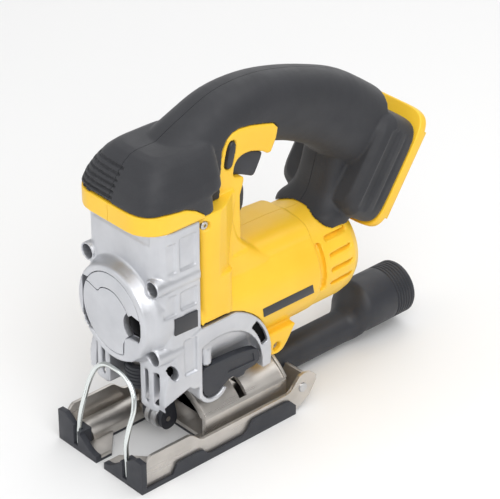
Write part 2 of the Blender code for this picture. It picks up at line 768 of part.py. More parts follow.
def make_motor():
    centre = (0, 0, MOTOR_Z)
    rear = STATOR_FRONT - STATOR_LENGTH
    place("stator", sleeve("X", centre, STATOR_R, ROTOR_R + 0.8, rear, STATOR_FRONT, 28), steel())
    shaft_rear, shaft_front = BARREL_REAR + 12, GEAR_BACK + GEAR_WIDE
    profile = [
        (shaft_rear, SHAFT_R),
        (rear - 16, SHAFT_R),
        (rear - 16, 11.0),
        (rear - 3, 11.0),
        (rear - 3, ROTOR_R),
        (STATOR_FRONT, ROTOR_R),
        (STATOR_FRONT, SHAFT_R),
        (shaft_front, SHAFT_R),
    ]
    place("rotor", turned("X", centre, profile, 20), copper(), centre)
    fan = place("fan", sleeve("X", centre, 9.0, SHAFT_R + GAP / 2, -20, -9, 20), nylon(), centre)
    disc = helper("fan_disc", sleeve("X", centre, STATOR_R - 3.0, 7.0, -12.5, -10.5, 24))
    blades = []
    for i in range(9):
        blade = box((-19.0, 8.0, -1.0), (-11.5, STATOR_R - 3.5, 1.0))
        bmesh.ops.rotate(
            blade, cent=(0, 0, 0), matrix=Matrix.Rotation(i * math.tau / 9, 3, "X"), verts=blade.verts[:]
        )
        bmesh.ops.translate(blade, vec=centre, verts=blade.verts[:])
        blades.append(helper(f"fan_blade_{i}", blade))
    join(fan, disc, *blades)
    front = GEAR_PLATE_FRONT - 0.4
    place(
        "front_bearing",
        sleeve("X", centre, BEARING_R, SHAFT_R + GAP / 2, front - BEARING_WIDE + 0.8, front, 20), steel(),
    )
    place(
        "rear_bearing",
        sleeve("X", centre, BEARING_R, SHAFT_R + GAP / 2, shaft_rear + 0.5, shaft_rear + 6.5, 20), steel(),
    )
    for word, side in SIDES:
        low, high = sorted((12.0 * side, (STATOR_R - 2.5) * side))
        place(
            "brush_" + word, box((rear - 14, low, MOTOR_Z - 4), (rear - 5, high, MOTOR_Z + 4), 0.8),
            bronze(),
        )


def plate_form(grow):
    radius = GEAR_PLATE_R + grow
    outline = arc(0, GEAR_Z, radius, 0, 180, 8) + arc(0, MOTOR_Z, radius, 180, 360, 8)
    return slab("X", outline, GEAR_PLATE_FRONT - GEAR_PLATE_THICK - grow, GEAR_PLATE_FRONT + grow)


def make_gear_plate():
    """The plate that carries the motor's front bearing and the gear's axle."""
    back = GEAR_PLATE_FRONT - GEAR_PLATE_THICK
    plate = place("gear_plate", plate_form(0.0), cast())
    cut(
        plate,
        helper(
            "bearing_seat",
            rod("X", (0, 0, MOTOR_Z), BEARING_R + GAP / 2, back - 5, GEAR_PLATE_FRONT + 5, 20),
        ),
    )
    cut(
        plate,
        helper("axle_seat", rod("X", (0, 0, GEAR_Z), AXLE_R + GAP / 2, back - 5, GEAR_PLATE_FRONT + 5, 16)),
    )


def gear_outline(teeth, centre_z, phase):
    """A stub-toothed wheel: six points to a tooth, on the involute's pressure angle."""
    pitch, tip, root = TOOTH * teeth / 2, TOOTH * (teeth / 2 + 0.7), TOOTH * (teeth / 2 - 0.95)
    half = math.pi * TOOTH / 4 - 0.16
    slope = math.tan(math.radians(20))
    points = []
    for i in range(teeth):
        middle = math.tau * i / teeth + phase
        steps = ((root, half + slope * (pitch - root)), (pitch, half), (tip, half - slope * (tip - pitch)))
        for r, wide in steps:
            points.append((r, middle - wide / r))
        for r, wide in reversed(steps):
            points.append((r, middle + wide / r))
    return [(r * math.cos(a), centre_z + r * math.sin(a)) for r, a in points]


def make_gears():
    high = GEAR_BACK + GEAR_WIDE
    up_tooth = math.pi / 2 - math.tau * round(PINION_TEETH / 4) / PINION_TEETH
    pinion = place(
        "pinion", slab("X", gear_outline(PINION_TEETH, MOTOR_Z, up_tooth), GEAR_BACK - 0.4, high), steel(),
        (0, 0, MOTOR_Z),
    )
    cut(pinion, helper("pinion_bore", rod("X", (0, 0, MOTOR_Z), SHAFT_R + GAP / 2, 0, 60, 16)))
    down_gap = -math.pi / 2 + math.pi / GEAR_TEETH
    gear = place(
        "crank_gear", slab("X", gear_outline(GEAR_TEETH, GEAR_Z, down_gap), GEAR_BACK, high), steel(),
        (0, 0, GEAR_Z),
    )
    cut(gear, helper("gear_bore", rod("X", (0, 0, GEAR_Z), AXLE_R + RUN, 0, 60, 16)))
    cut(gear, helper("crank_hole", rod("X", (0, CRANK_R, GEAR_Z), CRANK_PIN_R - 0.8 + GAP / 2, 0, 60, 12)))
    place("gear_axle", rod("X", (0, 0, GEAR_Z), AXLE_R, GEAR_PLATE_FRONT - 5.4, high + 0.5, 16), steel())
    profile = [
        (GEAR_BACK, CRANK_PIN_R - 0.8), (high + GAP, CRANK_PIN_R - 0.8), (high + GAP, CRANK_PIN_R),
        (YOKE_BACK - 0.5, CRANK_PIN_R),
    ]
    place("crank_pin", turned("X", (0, CRANK_R, GEAR_Z), profile, 12), steel(), (0, 0, GEAR_Z))


def make_plunger():
    centre = (PLUNGER_X, 0, 0)
    place_at = (PLUNGER_X, 0, GEAR_Z)
    low, high = CLAMP_LOW + CLAMP_TALL - 6.0, GEAR_Z + 34.0
    plunger = place("plunger", rod("Z", centre, PLUNGER_R, low, high, 16), steel(), place_at)
    yoke = box(
        (YOKE_BACK, -YOKE_HALF, GEAR_Z - YOKE_TALL / 2),
        (PLUNGER_X + 5.4, YOKE_HALF, GEAR_Z + YOKE_TALL / 2), 1.0,
    )
    slot_half = CRANK_PIN_R + RUN
    slot = box(
        (YOKE_BACK - 5, -CRANK_R - 4.2, GEAR_Z - slot_half),
        (PLUNGER_X - 2.0, CRANK_R + 4.2, GEAR_Z + slot_half),
    )
    join(plunger, helper("yoke", yoke))
    cut(plunger, helper("yoke_slot", slot))
    bush = [(GEAR_Z - 34.0, GEAR_Z - 21.3), (GEAR_Z + 20.0, GEAR_Z + 30.0)]
    for word, (start, end) in zip(("lower_bush", "upper_bush"), bush):
        place(word, sleeve("Z", centre, BUSH_R, PLUNGER_R + RUN / 2, start, end, 20), bronze())
    clamp = place(
        "blade_clamp", rod("Z", centre, CLAMP_R, CLAMP_LOW, CLAMP_LOW + CLAMP_TALL, 20), nylon(), place_at
    )
    cut(clamp, helper("clamp_socket", rod("Z", centre, PLUNGER_R + GAP, low - GAP, 100, 16)))
    cut(clamp, helper("shank_slot", box((PLUNGER_X - 4.5, -1.0, 20), (PLUNGER_X + 4.5, 1.0, low + 2))))


def make_blade_guide():
    """The pendulum fork behind the blade, with its grooved roller."""
    pivot = (FORK_PIVOT_X, 0, FORK_PIVOT_Z)
    outline = [
        (19.4, 59), (25.6, 59), (25.4, 46), (25.4, 26), (28.6, 19), (27.5, 11.5), (23.5, 9.0), (18.0, 10.5),
        (16.4, 16), (18.4, 28), (19.2, 46),
    ]
    fork = place("guide_fork", slab("Y", outline, -8.4, 8.4), nylon(), pivot)
    cut(fork, helper("roller_room", box((5, -5.2, -5), (45, 5.2, ROLLER_Z + ROLLER_R + 1.2))))
    cut(fork, helper("fork_pin_hole", rod("Y", pivot, 2.0 + RUN, -20, 20, 14)))
    axle = (ROLLER_X - 1.0, 0, ROLLER_Z)
    cut(fork, helper("roller_pin_hole", rod("Y", axle, 1.6 + GAP / 2, -20, 20, 12)))
    place("fork_pin", rod("Y", pivot, 2.0, -13.4, 13.4, 14), steel())
    place("roller_pin", rod("Y", axle, 1.6, -8.2, 8.2, 12), steel(), axle)
    profile = [
        (-4.8, ROLLER_R), (-1.0, ROLLER_R), (-0.8, ROLLER_R - 1.5), (0.8, ROLLER_R - 1.5), (1.0, ROLLER_R),
        (4.8, ROLLER_R), (4.8, 1.6 + RUN), (-4.8, 1.6 + RUN),
    ]
    place("guide_roller", turned("Y", axle, profile, 20, True), steel(), axle)


def make_orbit_selector():
    """The knob on the far cheek that sets how far the fork swings."""
    centre = (SELECTOR_X, 0, SELECTOR_Z)
    face = -CASE_HALF - 1.5 - GAP
    profile = [(face - 4.4, 7.2), (face, 8.2), (face, SELECTOR_SHAFT_R), (-18.0, SELECTOR_SHAFT_R)]
    place("orbit_selector", turned("Y", centre, profile, 20), nylon(), centre)


def shoe_side(top_front, top_rear):
    """The side flange's outline, as X and Z."""
    return [
        (SHOE_FRONT - 4.0, SOLE + GAP),
        (SHOE_FRONT - 4.0, top_front),
        (34.0, top_front),
        (29.0, top_rear),
        (-45.0, top_rear),
        (-60.0, top_rear + 6.0),
        (-68.5, top_rear + 7.0),
        (-68.5, 16.0),
        (-62.0, 7.0),
        (SHOE_FLAT_REAR, SOLE + GAP),
    ]


def make_shoe():
    """Everything that tilts with the sole: steel plate, cradle, plastic cover, wire guard."""
    low, high = SOLE + GAP, SOLE + GAP + PLATE
    half = SHOE_HALF - 1.8
    base = [
        (SHOE_FRONT - 4.0, low), (SHOE_FRONT - 4.0, high), (SHOE_FLAT_REAR, high), (-61.0, high + 5.0),
        (-66.0, 16.5), (-68.4, 16.0), (-62.6, 7.0), (SHOE_FLAT_REAR - 1, low),
    ]
    plate = place("shoe_plate", slab("Y", base, -half + 0.1, half - 0.1), steel())
    for word, side in SIDES:
        ends = sorted(((half - FLANGE) * side, half * side))
        join(plate, helper("flange_" + word, slab("Y", shoe_side(FLANGE_HIGH, FLANGE_LOW), *ends)))
        bead = [
            (20.0 * side, high - 1.0), (21.5 * side, 9.0), (24.0 * side, 11.0), (27.0 * side, 11.0),
            (29.5 * side, 9.0), (31.0 * side, high - 1.0),
        ]
        join(plate, helper("bead_" + word, slab("X", bead, 20.0, SHOE_FRONT - 5.0)))
    opening = [
        (OPENING_REAR, OPENING_HALF), (OPENING_FRONT, OPENING_HALF), (56.0, SLOT_HALF),
        (SHOE_FRONT + 5, SLOT_HALF),
    ]
    outline = opening + [(x, -y) for x, y in reversed(opening)]
    mouth = helper("blade_opening", slab("Z", outline, -5, 60))
    tube_notch = helper("tube_notch", box((-90, -TUBE_R - 1.2, SOLE), (-42, TUBE_R + 1.2, 40)))
    cut(plate, mouth, tube_notch)

    sole_rear = SHOE_FLAT_REAR + 2.0
    sole = place("shoe_cover", box((sole_rear, -SHOE_HALF, 0), (SHOE_FRONT, SHOE_HALF, SOLE)), nylon())
    for word, side in SIDES:
        ends = sorted(((half + GAP) * side, SHOE_HALF * side))
        tabs = [
            (sole_rear, 0.2), (SHOE_FRONT - 1, 0.2), (SHOE_FRONT - 1, 7), (44, 7), (40, 13), (22, 13),
            (18, 7), (-12, 7), (-17, 11), (-45, 11), (sole_rear, 6),
        ]
        join(sole, helper("tabs_" + word, slab("Y", tabs, *ends)))
        wall = [
            (2.6 * side, 0.3), (SHOE_HALF * side, 0.3), (SHOE_HALF * side, 20.0), (33.0 * side, 20.0),
            (8.0 * side, 4.5), (2.6 * side, 4.5),
        ]
        join(sole, helper("front_wall_" + word, slab("X", wall, SHOE_FRONT - 4.0 + GAP, SHOE_FRONT)))
        join(
            sole,
            helper(
                "slot_block_" + word,
                box((59.0, WIRE_HALF * side - 3.6, 0.4), (SHOE_FRONT - 0.2, WIRE_HALF * side + 3.6, 13.0)),
            ),
        )
    cut(sole, mouth)
    for word, side in SIDES:
        y = WIRE_HALF * side
        room = WIRE_R + GAP
        cut(sole, helper("wire_slot_" + word, box((WIRE_X - room, y - room, 3.0), (90, y + room, 60))))
        pocket = box((58.0, y - 4.0, SOLE), (90, y + 4.0, 60))
        cut(plate, helper("slot_clearance_" + word, pocket))

    half_in = CRADLE_HALF - CRADLE_WALL
    outer_r, inner_r = CRADLE_R, CRADLE_R - CRADLE_WALL
    outer_end = math.degrees(math.acos(CRADLE_HALF / outer_r))
    inner_end = math.degrees(math.acos(half_in / inner_r))
    floor = high + GAP
    arch = [(CRADLE_HALF, floor)] + arc(
        0, 0, outer_r, outer_end, 180 - outer_end, 16
    ) + [(-CRADLE_HALF, floor)]
    arch += [(-half_in, floor)] + arc(0, 0, inner_r, 180 - inner_end, inner_end, 16) + [(half_in, floor)]
    cradle = place("shoe_cradle", slab("X", arch, CRADLE_REAR, CRADLE_FRONT), steel())
    room = BEVEL_BOLT_R + 2 * GAP
    reach = math.radians(BEVEL_RANGE) + math.asin(room / inner_r)
    wedge = [
        (0, 0), (60 * math.sin(reach), 60 * math.cos(reach)), (0, 60),
        (-60 * math.sin(reach), 60 * math.cos(reach)),
    ]
    cut(cradle, helper("bevel_slot", slab("X", wedge, BEVEL_BOLT_X - room, BEVEL_BOLT_X + room)))


WIRE_X = SHOE_FRONT - 2.6


def make_finger_guard():
    """The bent wire in front of the blade, standing in the cover's slots."""
    half = [(WIRE_X, WIRE_HALF, 3.6), (WIRE_X, WIRE_HALF, 24.0), (60.0, 18.0, 40.0), (56.5, 16.6, 50.0)]
    top = [(54.6, 13.0, 57.0), (54.0, 7.0, 60.0)]
    side = half + top
    points = side + [(54.0, 0.0, 60.6)] + [(x, -y, z) for x, y, z in reversed(side)]
    curve = bpy.data.curves.new("finger_guard", "CURVE")
    curve.dimensions = "3D"
    curve.bevel_depth = WIRE_R * 0.001
    curve.bevel_resolution = 2
    curve.use_fill_caps = True
    line = curve.splines.new("POLY")
    line.points.add(len(points) - 1)
    for spot, place_at in zip(line.points, points):
        spot.co = (*[c * 0.001 for c in place_at], 1.0)
    curve.materials.append(zinc())
    wire = bpy.data.objects.new("finger_guard", curve)
    bpy.context.scene.collection.objects.link(wire)


def make_bevel_clamp():
    shaft = [
        (CRADLE_R - CRADLE_WALL - 4.2, 4.2), (CRADLE_R - CRADLE_WALL - GAP, 4.2),
        (CRADLE_R - CRADLE_WALL - GAP, BEVEL_BOLT_R), (48.0, BEVEL_BOLT_R),
    ]
    place("bevel_bolt", turned("Z", (BEVEL_BOLT_X, 0, 0), shaft, 14), steel())
    pivot = (BEVEL_PIN_X, BEVEL_PIN_Y, 50.0)
    tip = [(17.5, 59), (17, 47), (12.5, 42.5), (6, 44), (1.5, 47.5)]
    outline = tip + [
        (-4, 47), (-12, 46.5), (-17, 47), (-19.5, 50), (-19, 56), (-14, 58.5), (0, BEVEL_LEVER_TOP),
    ]
    lever = place("bevel_lever", slab("Y", outline, 27.2, 32.0), nylon(), pivot)
    cut(lever, helper("lever_pivot_hole", rod("Z", (pivot[0], pivot[1], 0), 1.5 + RUN, 20, 80, 12)))
    place("bevel_lever_pin", rod("Z", (pivot[0], pivot[1], 0), 1.5, 45.6, 70.5, 12), steel())


def make_dust_tube():
    stations = (
        (-43.0, TUBE_Z, TUBE_R),
        (-126.0, TUBE_Z, TUBE_R),
        (-134.0, (TUBE_Z + PORT_Z) / 2, (TUBE_R + PORT_R) / 2),
        (PORT_REAR + PORT_LENGTH, PORT_Z, PORT_R),
        (PORT_REAR, PORT_Z, PORT_R),
        (PORT_REAR, PORT_Z, PORT_BORE),
        (PORT_REAR + PORT_LENGTH - 2, PORT_Z, PORT_BORE),
        (-132.0, (TUBE_Z + PORT_Z) / 2 - 1.0, (TUBE_BORE + PORT_BORE) / 2 - 1.2),
        (-125.0, TUBE_Z, TUBE_BORE),
        (-43.0, TUBE_Z, TUBE_BORE),
    )
    rings = [ring((x, 0, z), (0, 1, 0), (0, 0, 1), r, r, 2.0, 24) for x, z, r in stations]
    place("dust_tube", loft(rings, True), nylon())


def make_screws():
    for i, (x, z, far) in enumerate(HOUSING_SCREWS):
        place(f"housing_screw_{i + 1}", rod("Y", (x, 0, z), 1.6, -far, far, 10), steel())


def make_labels():
    y = CASE_HALF + 1.2
    place("case_badge", box((21.0, y, 86.5), (37.5, y + 0.8, 101.5), 0.25), dark_label())


clear_scene()
make_housing()
make_handle()
make_controls()
make_battery_interface()
make_gear_case()
make_case_screws()
make_front_lever()
make_motor()
make_gear_plate()
make_gears()
make_plunger()
make_blade_guide()
make_orbit_selector()
make_shoe()
make_finger_guard()
make_bevel_clamp()
make_dust_tube()
make_screws()
make_labels()
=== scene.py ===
import json
import math

import bmesh
import bpy
from mathutils import Matrix, Vector


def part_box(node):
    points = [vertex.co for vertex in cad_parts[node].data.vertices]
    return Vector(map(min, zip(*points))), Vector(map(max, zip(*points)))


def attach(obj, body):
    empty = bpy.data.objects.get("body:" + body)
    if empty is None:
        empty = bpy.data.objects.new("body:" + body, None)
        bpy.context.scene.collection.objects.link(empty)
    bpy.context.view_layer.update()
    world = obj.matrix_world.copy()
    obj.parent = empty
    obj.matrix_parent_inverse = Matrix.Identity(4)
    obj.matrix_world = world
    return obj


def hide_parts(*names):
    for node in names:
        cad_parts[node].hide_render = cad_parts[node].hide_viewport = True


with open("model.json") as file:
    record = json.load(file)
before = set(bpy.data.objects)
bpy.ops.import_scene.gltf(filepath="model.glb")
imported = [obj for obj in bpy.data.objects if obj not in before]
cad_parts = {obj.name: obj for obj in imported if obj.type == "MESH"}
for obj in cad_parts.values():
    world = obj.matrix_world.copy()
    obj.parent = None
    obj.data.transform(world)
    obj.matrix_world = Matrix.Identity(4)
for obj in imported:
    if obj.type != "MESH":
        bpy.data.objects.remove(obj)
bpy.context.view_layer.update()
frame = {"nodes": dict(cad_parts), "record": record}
mm = 0.001
tau = math.tau


# Datum lines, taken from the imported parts, in millimetres
def span(node):
    low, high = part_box(node)
    return low / mm, high / mm


def middleOf(node):
    return tuple((a + b) / 2 for a, b in zip(*span(node)))


caseHigh, soleHigh = span("gear_case")[1], span("shoe_cover")[1]
bossFront = caseHigh.x
seamGap = 0.3  # between the two halves of a clamshell
motorZ, gearZ = middleOf("stator")[2], middleOf("gear_axle")[2]
plungerX = middleOf("blade_clamp")[0]

axisTurn = {
    "X": Matrix.Rotation(math.pi / 2, 4, "Y"),
    "Y": Matrix.Rotation(-math.pi / 2, 4, "X"),
    "Z": Matrix.Identity(4),
}


def arcPoints(x, y, radius, start, end, steps):  # an arc in degrees, as flat points
    turn = [math.radians(start + (end - start) * i / steps) for i in range(steps + 1)]
    return [(x + radius * math.cos(a), y + radius * math.sin(a)) for a in turn]


def bevelSharp(bm, width, steps=2, angle=30):  # rounds the edges that turn more than this
    bmesh.ops.remove_doubles(bm, verts=bm.verts[:], dist=0.001)
    sharp = [e for e in bm.edges if e.is_manifold and e.calc_face_angle() > math.radians(angle)]
    bmesh.ops.bevel(bm, geom=sharp, offset=width, segments=steps, profile=0.5, affect="EDGES",
                    material=-1, offset_type="OFFSET", clamp_overlap=True)
    return bm


def block(low, high, edge=0, steps=2):
    bm = bmesh.new()
    bmesh.ops.create_cube(bm, size=1)
    size = Vector([b - a for a, b in zip(low, high)])
    middle = Vector([(a + b) / 2 for a, b in zip(low, high)])
    bmesh.ops.scale(bm, vec=size, verts=bm.verts[:])
    bmesh.ops.translate(bm, vec=middle, verts=bm.verts[:])
    return bevelSharp(bm, edge, steps) if edge else bm


def rod(axis, centre, radius, low, high, segments=32, endRadius=None, edge=0):
    bm = bmesh.new()
    bmesh.ops.create_cone(bm, cap_ends=True, segments=segments, radius1=radius,
                          radius2=radius if endRadius is None else endRadius, depth=high - low)
    along = axisTurn[axis] @ Vector((0, 0, (low + high) / 2))
    bmesh.ops.transform(
        bm, matrix=Matrix.Translation(Vector(centre) + along) @ axisTurn[axis], verts=bm.verts[:]
    )
    return bevelSharp(bm, edge, 2, 60) if edge else bm


def slab(axis, outline, low, high, edge=0, steps=2):  # X takes (y, z), Y takes (x, z), Z takes (x, y)
    bm = bmesh.new()
    seat = {
        "X": lambda p: (low, p[0], p[1]), "Y": lambda p: (p[0], low, p[1]),
        "Z": lambda p: (p[0], p[1], low),
    }
    face = bm.faces.new([bm.verts.new(seat[axis](p)) for p in outline])
    grown = bmesh.ops.extrude_face_region(bm, geom=[face])
    push = {"X": (high - low, 0, 0), "Y": (0, high - low, 0), "Z": (0, 0, high - low)}[axis]
    bmesh.ops.translate(bm, vec=push, verts=[v for v in grown["geom"] if isinstance(v, bmesh.types.BMVert)])
    bmesh.ops.recalc_face_normals(bm, faces=bm.faces[:])
    return bevelSharp(bm, edge, steps) if edge else bm


def turned(axis, centre, profile, segments=48):  # a profile of (along, radius) spun about an axis
    bm = bmesh.new()
    closed = profile[0][1] > 0.001 and profile[-1][1] > 0.001
    verts = [bm.verts.new((r, 0, at)) for at, r in profile]
    edges = [bm.edges.new(pair) for pair in zip(verts, verts[1:])]
    if closed:
        edges.append(bm.edges.new((verts[-1], verts[0])))
    bmesh.ops.spin(
        bm, geom=verts + edges, cent=(0, 0, 0), axis=(0, 0, 1), angle=tau, steps=segments, use_merge=True
    )
    bmesh.ops.remove_doubles(bm, verts=bm.verts[:], dist=0.001)
    bmesh.ops.transform(bm, matrix=Matrix.Translation(Vector(centre)) @ axisTurn[axis], verts=bm.verts[:])
    bmesh.ops.recalc_face_normals(bm, faces=bm.faces[:])
    return bm


def shapeRing(verts, station):  # sets a ring of points to a rounded outline at a station
    centre, across, up, wide, tall, power = station
    for i, vert in enumerate(verts):
        angle = tau * (i + 0.5) / len(verts)
        c, s = math.cos(angle), math.sin(angle)
        a = wide * math.copysign(abs(c) ** (2 / power), c)
        b = tall * math.copysign(abs(s) ** (2 / power), s)
        vert.co = Vector(centre) + Vector(across) * a + Vector(up) * b


def lofted(stations, segments=64):  # a ring extruded from station to station
    bm = bmesh.new()
    ring = bmesh.ops.create_circle(bm, cap_ends=False, segments=segments, radius=1)["verts"]
    shapeRing(ring, stations[0])
    edges = bm.edges[:]
    bmesh.ops.contextual_create(bm, geom=edges)
    for station in stations[1:]:
        grown = bmesh.ops.extrude_edge_only(bm, edges=edges)["geom"]
        ring = [v for v in grown if isinstance(v, bmesh.types.BMVert)]
        edges = [e for e in grown if isinstance(e, bmesh.types.BMEdge)]
        shapeRing(ring, station)
    bmesh.ops.contextual_create(bm, geom=edges)
    bmesh.ops.recalc_face_normals(bm, faces=bm.faces[:])
    return bm


def blended(keys, steps):  # stations between the given ones, on a smooth curve through them
    found = []
    for i in range(len(keys) - 1):
        near = [keys[max(i - 1, 0)], keys[i], keys[i + 1], keys[min(i + 2, len(keys) - 1)]]
        for k in range(steps):
            t = k / steps
            weigh = (
                -t + 2 * t * t - t ** 3, 2 - 5 * t * t + 3 * t ** 3, t + 4 * t * t - 3 * t ** 3,
                t ** 3 - t * t,
            )
            found.append(tuple(sum(w * p[j] for w, p in zip(weigh, near)) / 2 for j in range(len(keys[0]))))
    return found + [tuple(keys[-1])]


def merged(*shapes):  # several loose shapes in one mesh
    whole = bmesh.new()
    for shape in shapes:
        part = bpy.data.meshes.new("part")
        shape.to_mesh(part)
        shape.free()
        whole.from_mesh(part)
        bpy.data.meshes.remove(part)
    return whole


def mirroredY(shape):
    bmesh.ops.scale(shape, vec=(1, -1, 1), verts=shape.verts[:])
    bmesh.ops.reverse_faces(shape, faces=shape.faces[:])
    return shape


def placed(name, data):  # a new object, standing in the scene
    obj = bpy.data.objects.new(name, data)
    bpy.context.scene.collection.objects.link(obj)
    return obj


def asObject(name, bm, finish=None):
    bmesh.ops.scale(bm, vec=(mm, mm, mm), verts=bm.verts[:])
    mesh = bpy.data.meshes.new(name)
    bm.to_mesh(mesh)
    bm.free()
    obj = placed(name, mesh)
    if finish:
        mesh.materials.append(finish)
    return obj


def bake(obj):  # the modifiers' result becomes the mesh
    bpy.context.view_layer.update()
    mesh = bpy.data.meshes.new_from_object(obj.evaluated_get(bpy.context.evaluated_depsgraph_get()))
    old = obj.data
    obj.modifiers.clear()
    obj.data = mesh
    bpy.data.meshes.remove(old)
    return obj


def soften(obj, voxel, rounds):  # melts a carved shape into one skin with rounded edges
    skin = obj.modifiers.new("skin", "REMESH")
    skin.mode = "VOXEL"
    skin.voxel_size = voxel * mm
    skin.use_smooth_shade = True
    if rounds:
        ease = obj.modifiers.new("ease", "SMOOTH")
        ease.factor = 0.5
        ease.iterations = rounds
    return bake(obj)


def carve(obj, steps):  # steps are ("join" or "cut" or "keep", shape)
    word = {"join": "UNION", "cut": "DIFFERENCE", "keep": "INTERSECT"}
    tools = []
    for action, shape in steps:
        tool = asObject("tool", shape)
        tools.append(tool)
        modifier = obj.modifiers.new(action, "BOOLEAN")
        modifier.operation = word[action]
        modifier.solver = "MANIFOLD"
        modifier.object = tool
    bake(obj)
    for tool in tools:
        mesh = tool.data
        bpy.data.objects.remove(tool)
        bpy.data.meshes.remove(mesh)
    return obj


def shapeOf(obj):  # a finished shape back as a loose one, in millimetres
    bm = bmesh.new()
    bm.from_mesh(obj.data)
    bmesh.ops.scale(bm, vec=(1 / mm, 1 / mm, 1 / mm), verts=bm.verts[:])
    bpy.data.objects.remove(obj)
    return bm


def bothSides(points):  # a half outline and its mirror image
    return points + [(x, -y) for x, y in reversed(points)]


def cut(steps, *shapes):  # takes shapes away, in the order given
    steps += [("cut", shape) for shape in shapes]


def add(steps, *shapes):
    steps += [("join", shape) for shape in shapes]


def sided(side, near, far):  # two distances out from the middle plane, lower first
    return sorted((side * near, side * far))


def level(z, front, rear, half, power):  # a flat station of a loft, by its front, rear and half width
    return ((front + rear) / 2, 0, z), (1, 0, 0), (0, 1, 0), (front - rear) / 2, half, power


def halfOf(obj, name, side):  # one half of a clamshell, cut flat just off the parting plane
    bm = bmesh.new()
    bm.from_mesh(obj.data)
    plane = Vector((0, side * seamGap / 2 * mm, 0))
    everything = bm.verts[:] + bm.edges[:] + bm.faces[:]
    found = bmesh.ops.bisect_plane(
        bm, geom=everything, dist=1e-7, plane_co=plane, plane_no=(0, side, 0), clear_inner=True)
    rim = [e for e in found["geom_cut"] if isinstance(e, bmesh.types.BMEdge)]
    bmesh.ops.triangle_fill(bm, edges=rim, use_beauty=True, normal=(0, -side, 0))
    mesh = bpy.data.meshes.new(name)
    bm.to_mesh(mesh)
    bm.free()
    return placed(name, mesh)


def shade(obj, angle=35):
    obj.data.shade_smooth()
    obj.data.set_sharp_from_angle(angle=math.radians(angle))
    return obj


def fit(obj, body, slotName, *nodes, finish=None):
    obj.data.materials.clear()
    obj.data.materials.append(finish or slotFinish[slotName])
    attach(obj, body)
    if nodes:
        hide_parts(*nodes)
    return obj


def fitHalves(shell, name, slotName):  # a clamshell becomes its two halves
    for word, side in (("left", 1), ("right", -1)):
        half = shade(halfOf(shell, name + word.title(), side), 40)
        fit(half, "tool", slotName, f"{name}_{word}")
    bpy.data.objects.remove(shell)
    print(f"{name} made")


# Finishes

def baseFinish(name, colour, roughness, metallic=0):
    made = bpy.data.materials.new(name)
    made.use_nodes = True
    shader = made.node_tree.nodes["Principled BSDF"]
    shader.inputs["Base Color"].default_value = (*colour, 1)
    shader.inputs["Roughness"].default_value = roughness
    shader.inputs["Metallic"].default_value = metallic
    return made, made.node_tree, shader


def addNoise(tree, scale, detail=4, stretch=(1, 1, 1)):
    place = tree.nodes.new("ShaderNodeTexCoord")
    mapping = tree.nodes.new("ShaderNodeMapping")
    mapping.inputs["Scale"].default_value = stretch
    noise = tree.nodes.new("ShaderNodeTexNoise")
    noise.inputs["Scale"].default_value = scale
    noise.inputs["Detail"].default_value = detail
    tree.links.new(place.outputs["Object"], mapping.inputs["Vector"])
    tree.links.new(mapping.outputs["Vector"], noise.inputs["Vector"])
    return noise.outputs["Fac"]


def addRamp(tree, source, low, high, start=0.3, end=0.7):
    ramp = tree.nodes.new("ShaderNodeMapRange")
    ramp.inputs["From Min"].default_value = start
    ramp.inputs["From Max"].default_value = end
    ramp.inputs["To Min"].default_value = low
    ramp.inputs["To Max"].default_value = high
    tree.links.new(source, ramp.inputs["Value"])
    return ramp.outputs["Result"]


def addTint(tree, shader, source, dark, light):
    mix = tree.nodes.new("ShaderNodeMix")
    mix.data_type = "RGBA"
    mix.inputs["A"].default_value = (*dark, 1)
    mix.inputs["B"].default_value = (*light, 1)
    tree.links.new(source, mix.inputs["Factor"])
    tree.links.new(mix.outputs["Result"], shader.inputs["Base Color"])


def addBump(tree, shader, source, strength, distance):
    bump = tree.nodes.new("ShaderNodeBump")
    bump.inputs["Strength"].default_value = strength
    bump.inputs["Distance"].default_value = distance
    tree.links.new(source, bump.inputs["Height"])
    tree.links.new(bump.outputs["Normal"], shader.inputs["Normal"])


def madeFinish(name, colour, roughness, metallic=0, tint=None, rough=None, bump=None, **more):
    made, tree, shader = baseFinish(name, colour, roughness, metallic)
    if tint:  # noise scale and detail, the darker and the lighter colour
        scale, detail, dark, light = tint
        addTint(tree, shader, addRamp(tree, addNoise(tree, scale, detail), 0, 1), dark, light)
    if rough:  # noise scale and detail, the smoothest and the roughest
        scale, detail, low, high = rough
        tree.links.new(addRamp(tree, addNoise(tree, scale, detail), low, high), shader.inputs["Roughness"])
    if bump:  # noise scale and detail, strength, distance
        scale, detail, strength, distance = bump
        addBump(tree, shader, addNoise(tree, scale, detail), strength, distance)
    for socket, value in more.items():
        shader.inputs[socket].default_value = value
    return made


def plainMetal(name, colour, rough):
    return madeFinish(
        name, colour, rough, 1, rough=(180, 4, rough - 0.07, rough + 0.09), bump=(700, 4, 0.12, 0.0001)
    )


def satinSteel(name="satinSteel", colour=(0.57, 0.54, 0.505)):
    made, tree, shader = baseFinish(name, colour, 0.45, 0.88)
    cloud = addRamp(tree, addNoise(tree, 45, 6), 0, 1)
    addTint(tree, shader, cloud, tuple(0.86 * c for c in colour), tuple(1.14 * c for c in colour))
    grain = addNoise(tree, 260, 4, (0.06, 1, 1))
    tree.links.new(addRamp(tree, grain, 0.26, 0.44), shader.inputs["Roughness"])
    addBump(tree, shader, grain, 0.12, 0.0001)
    return made


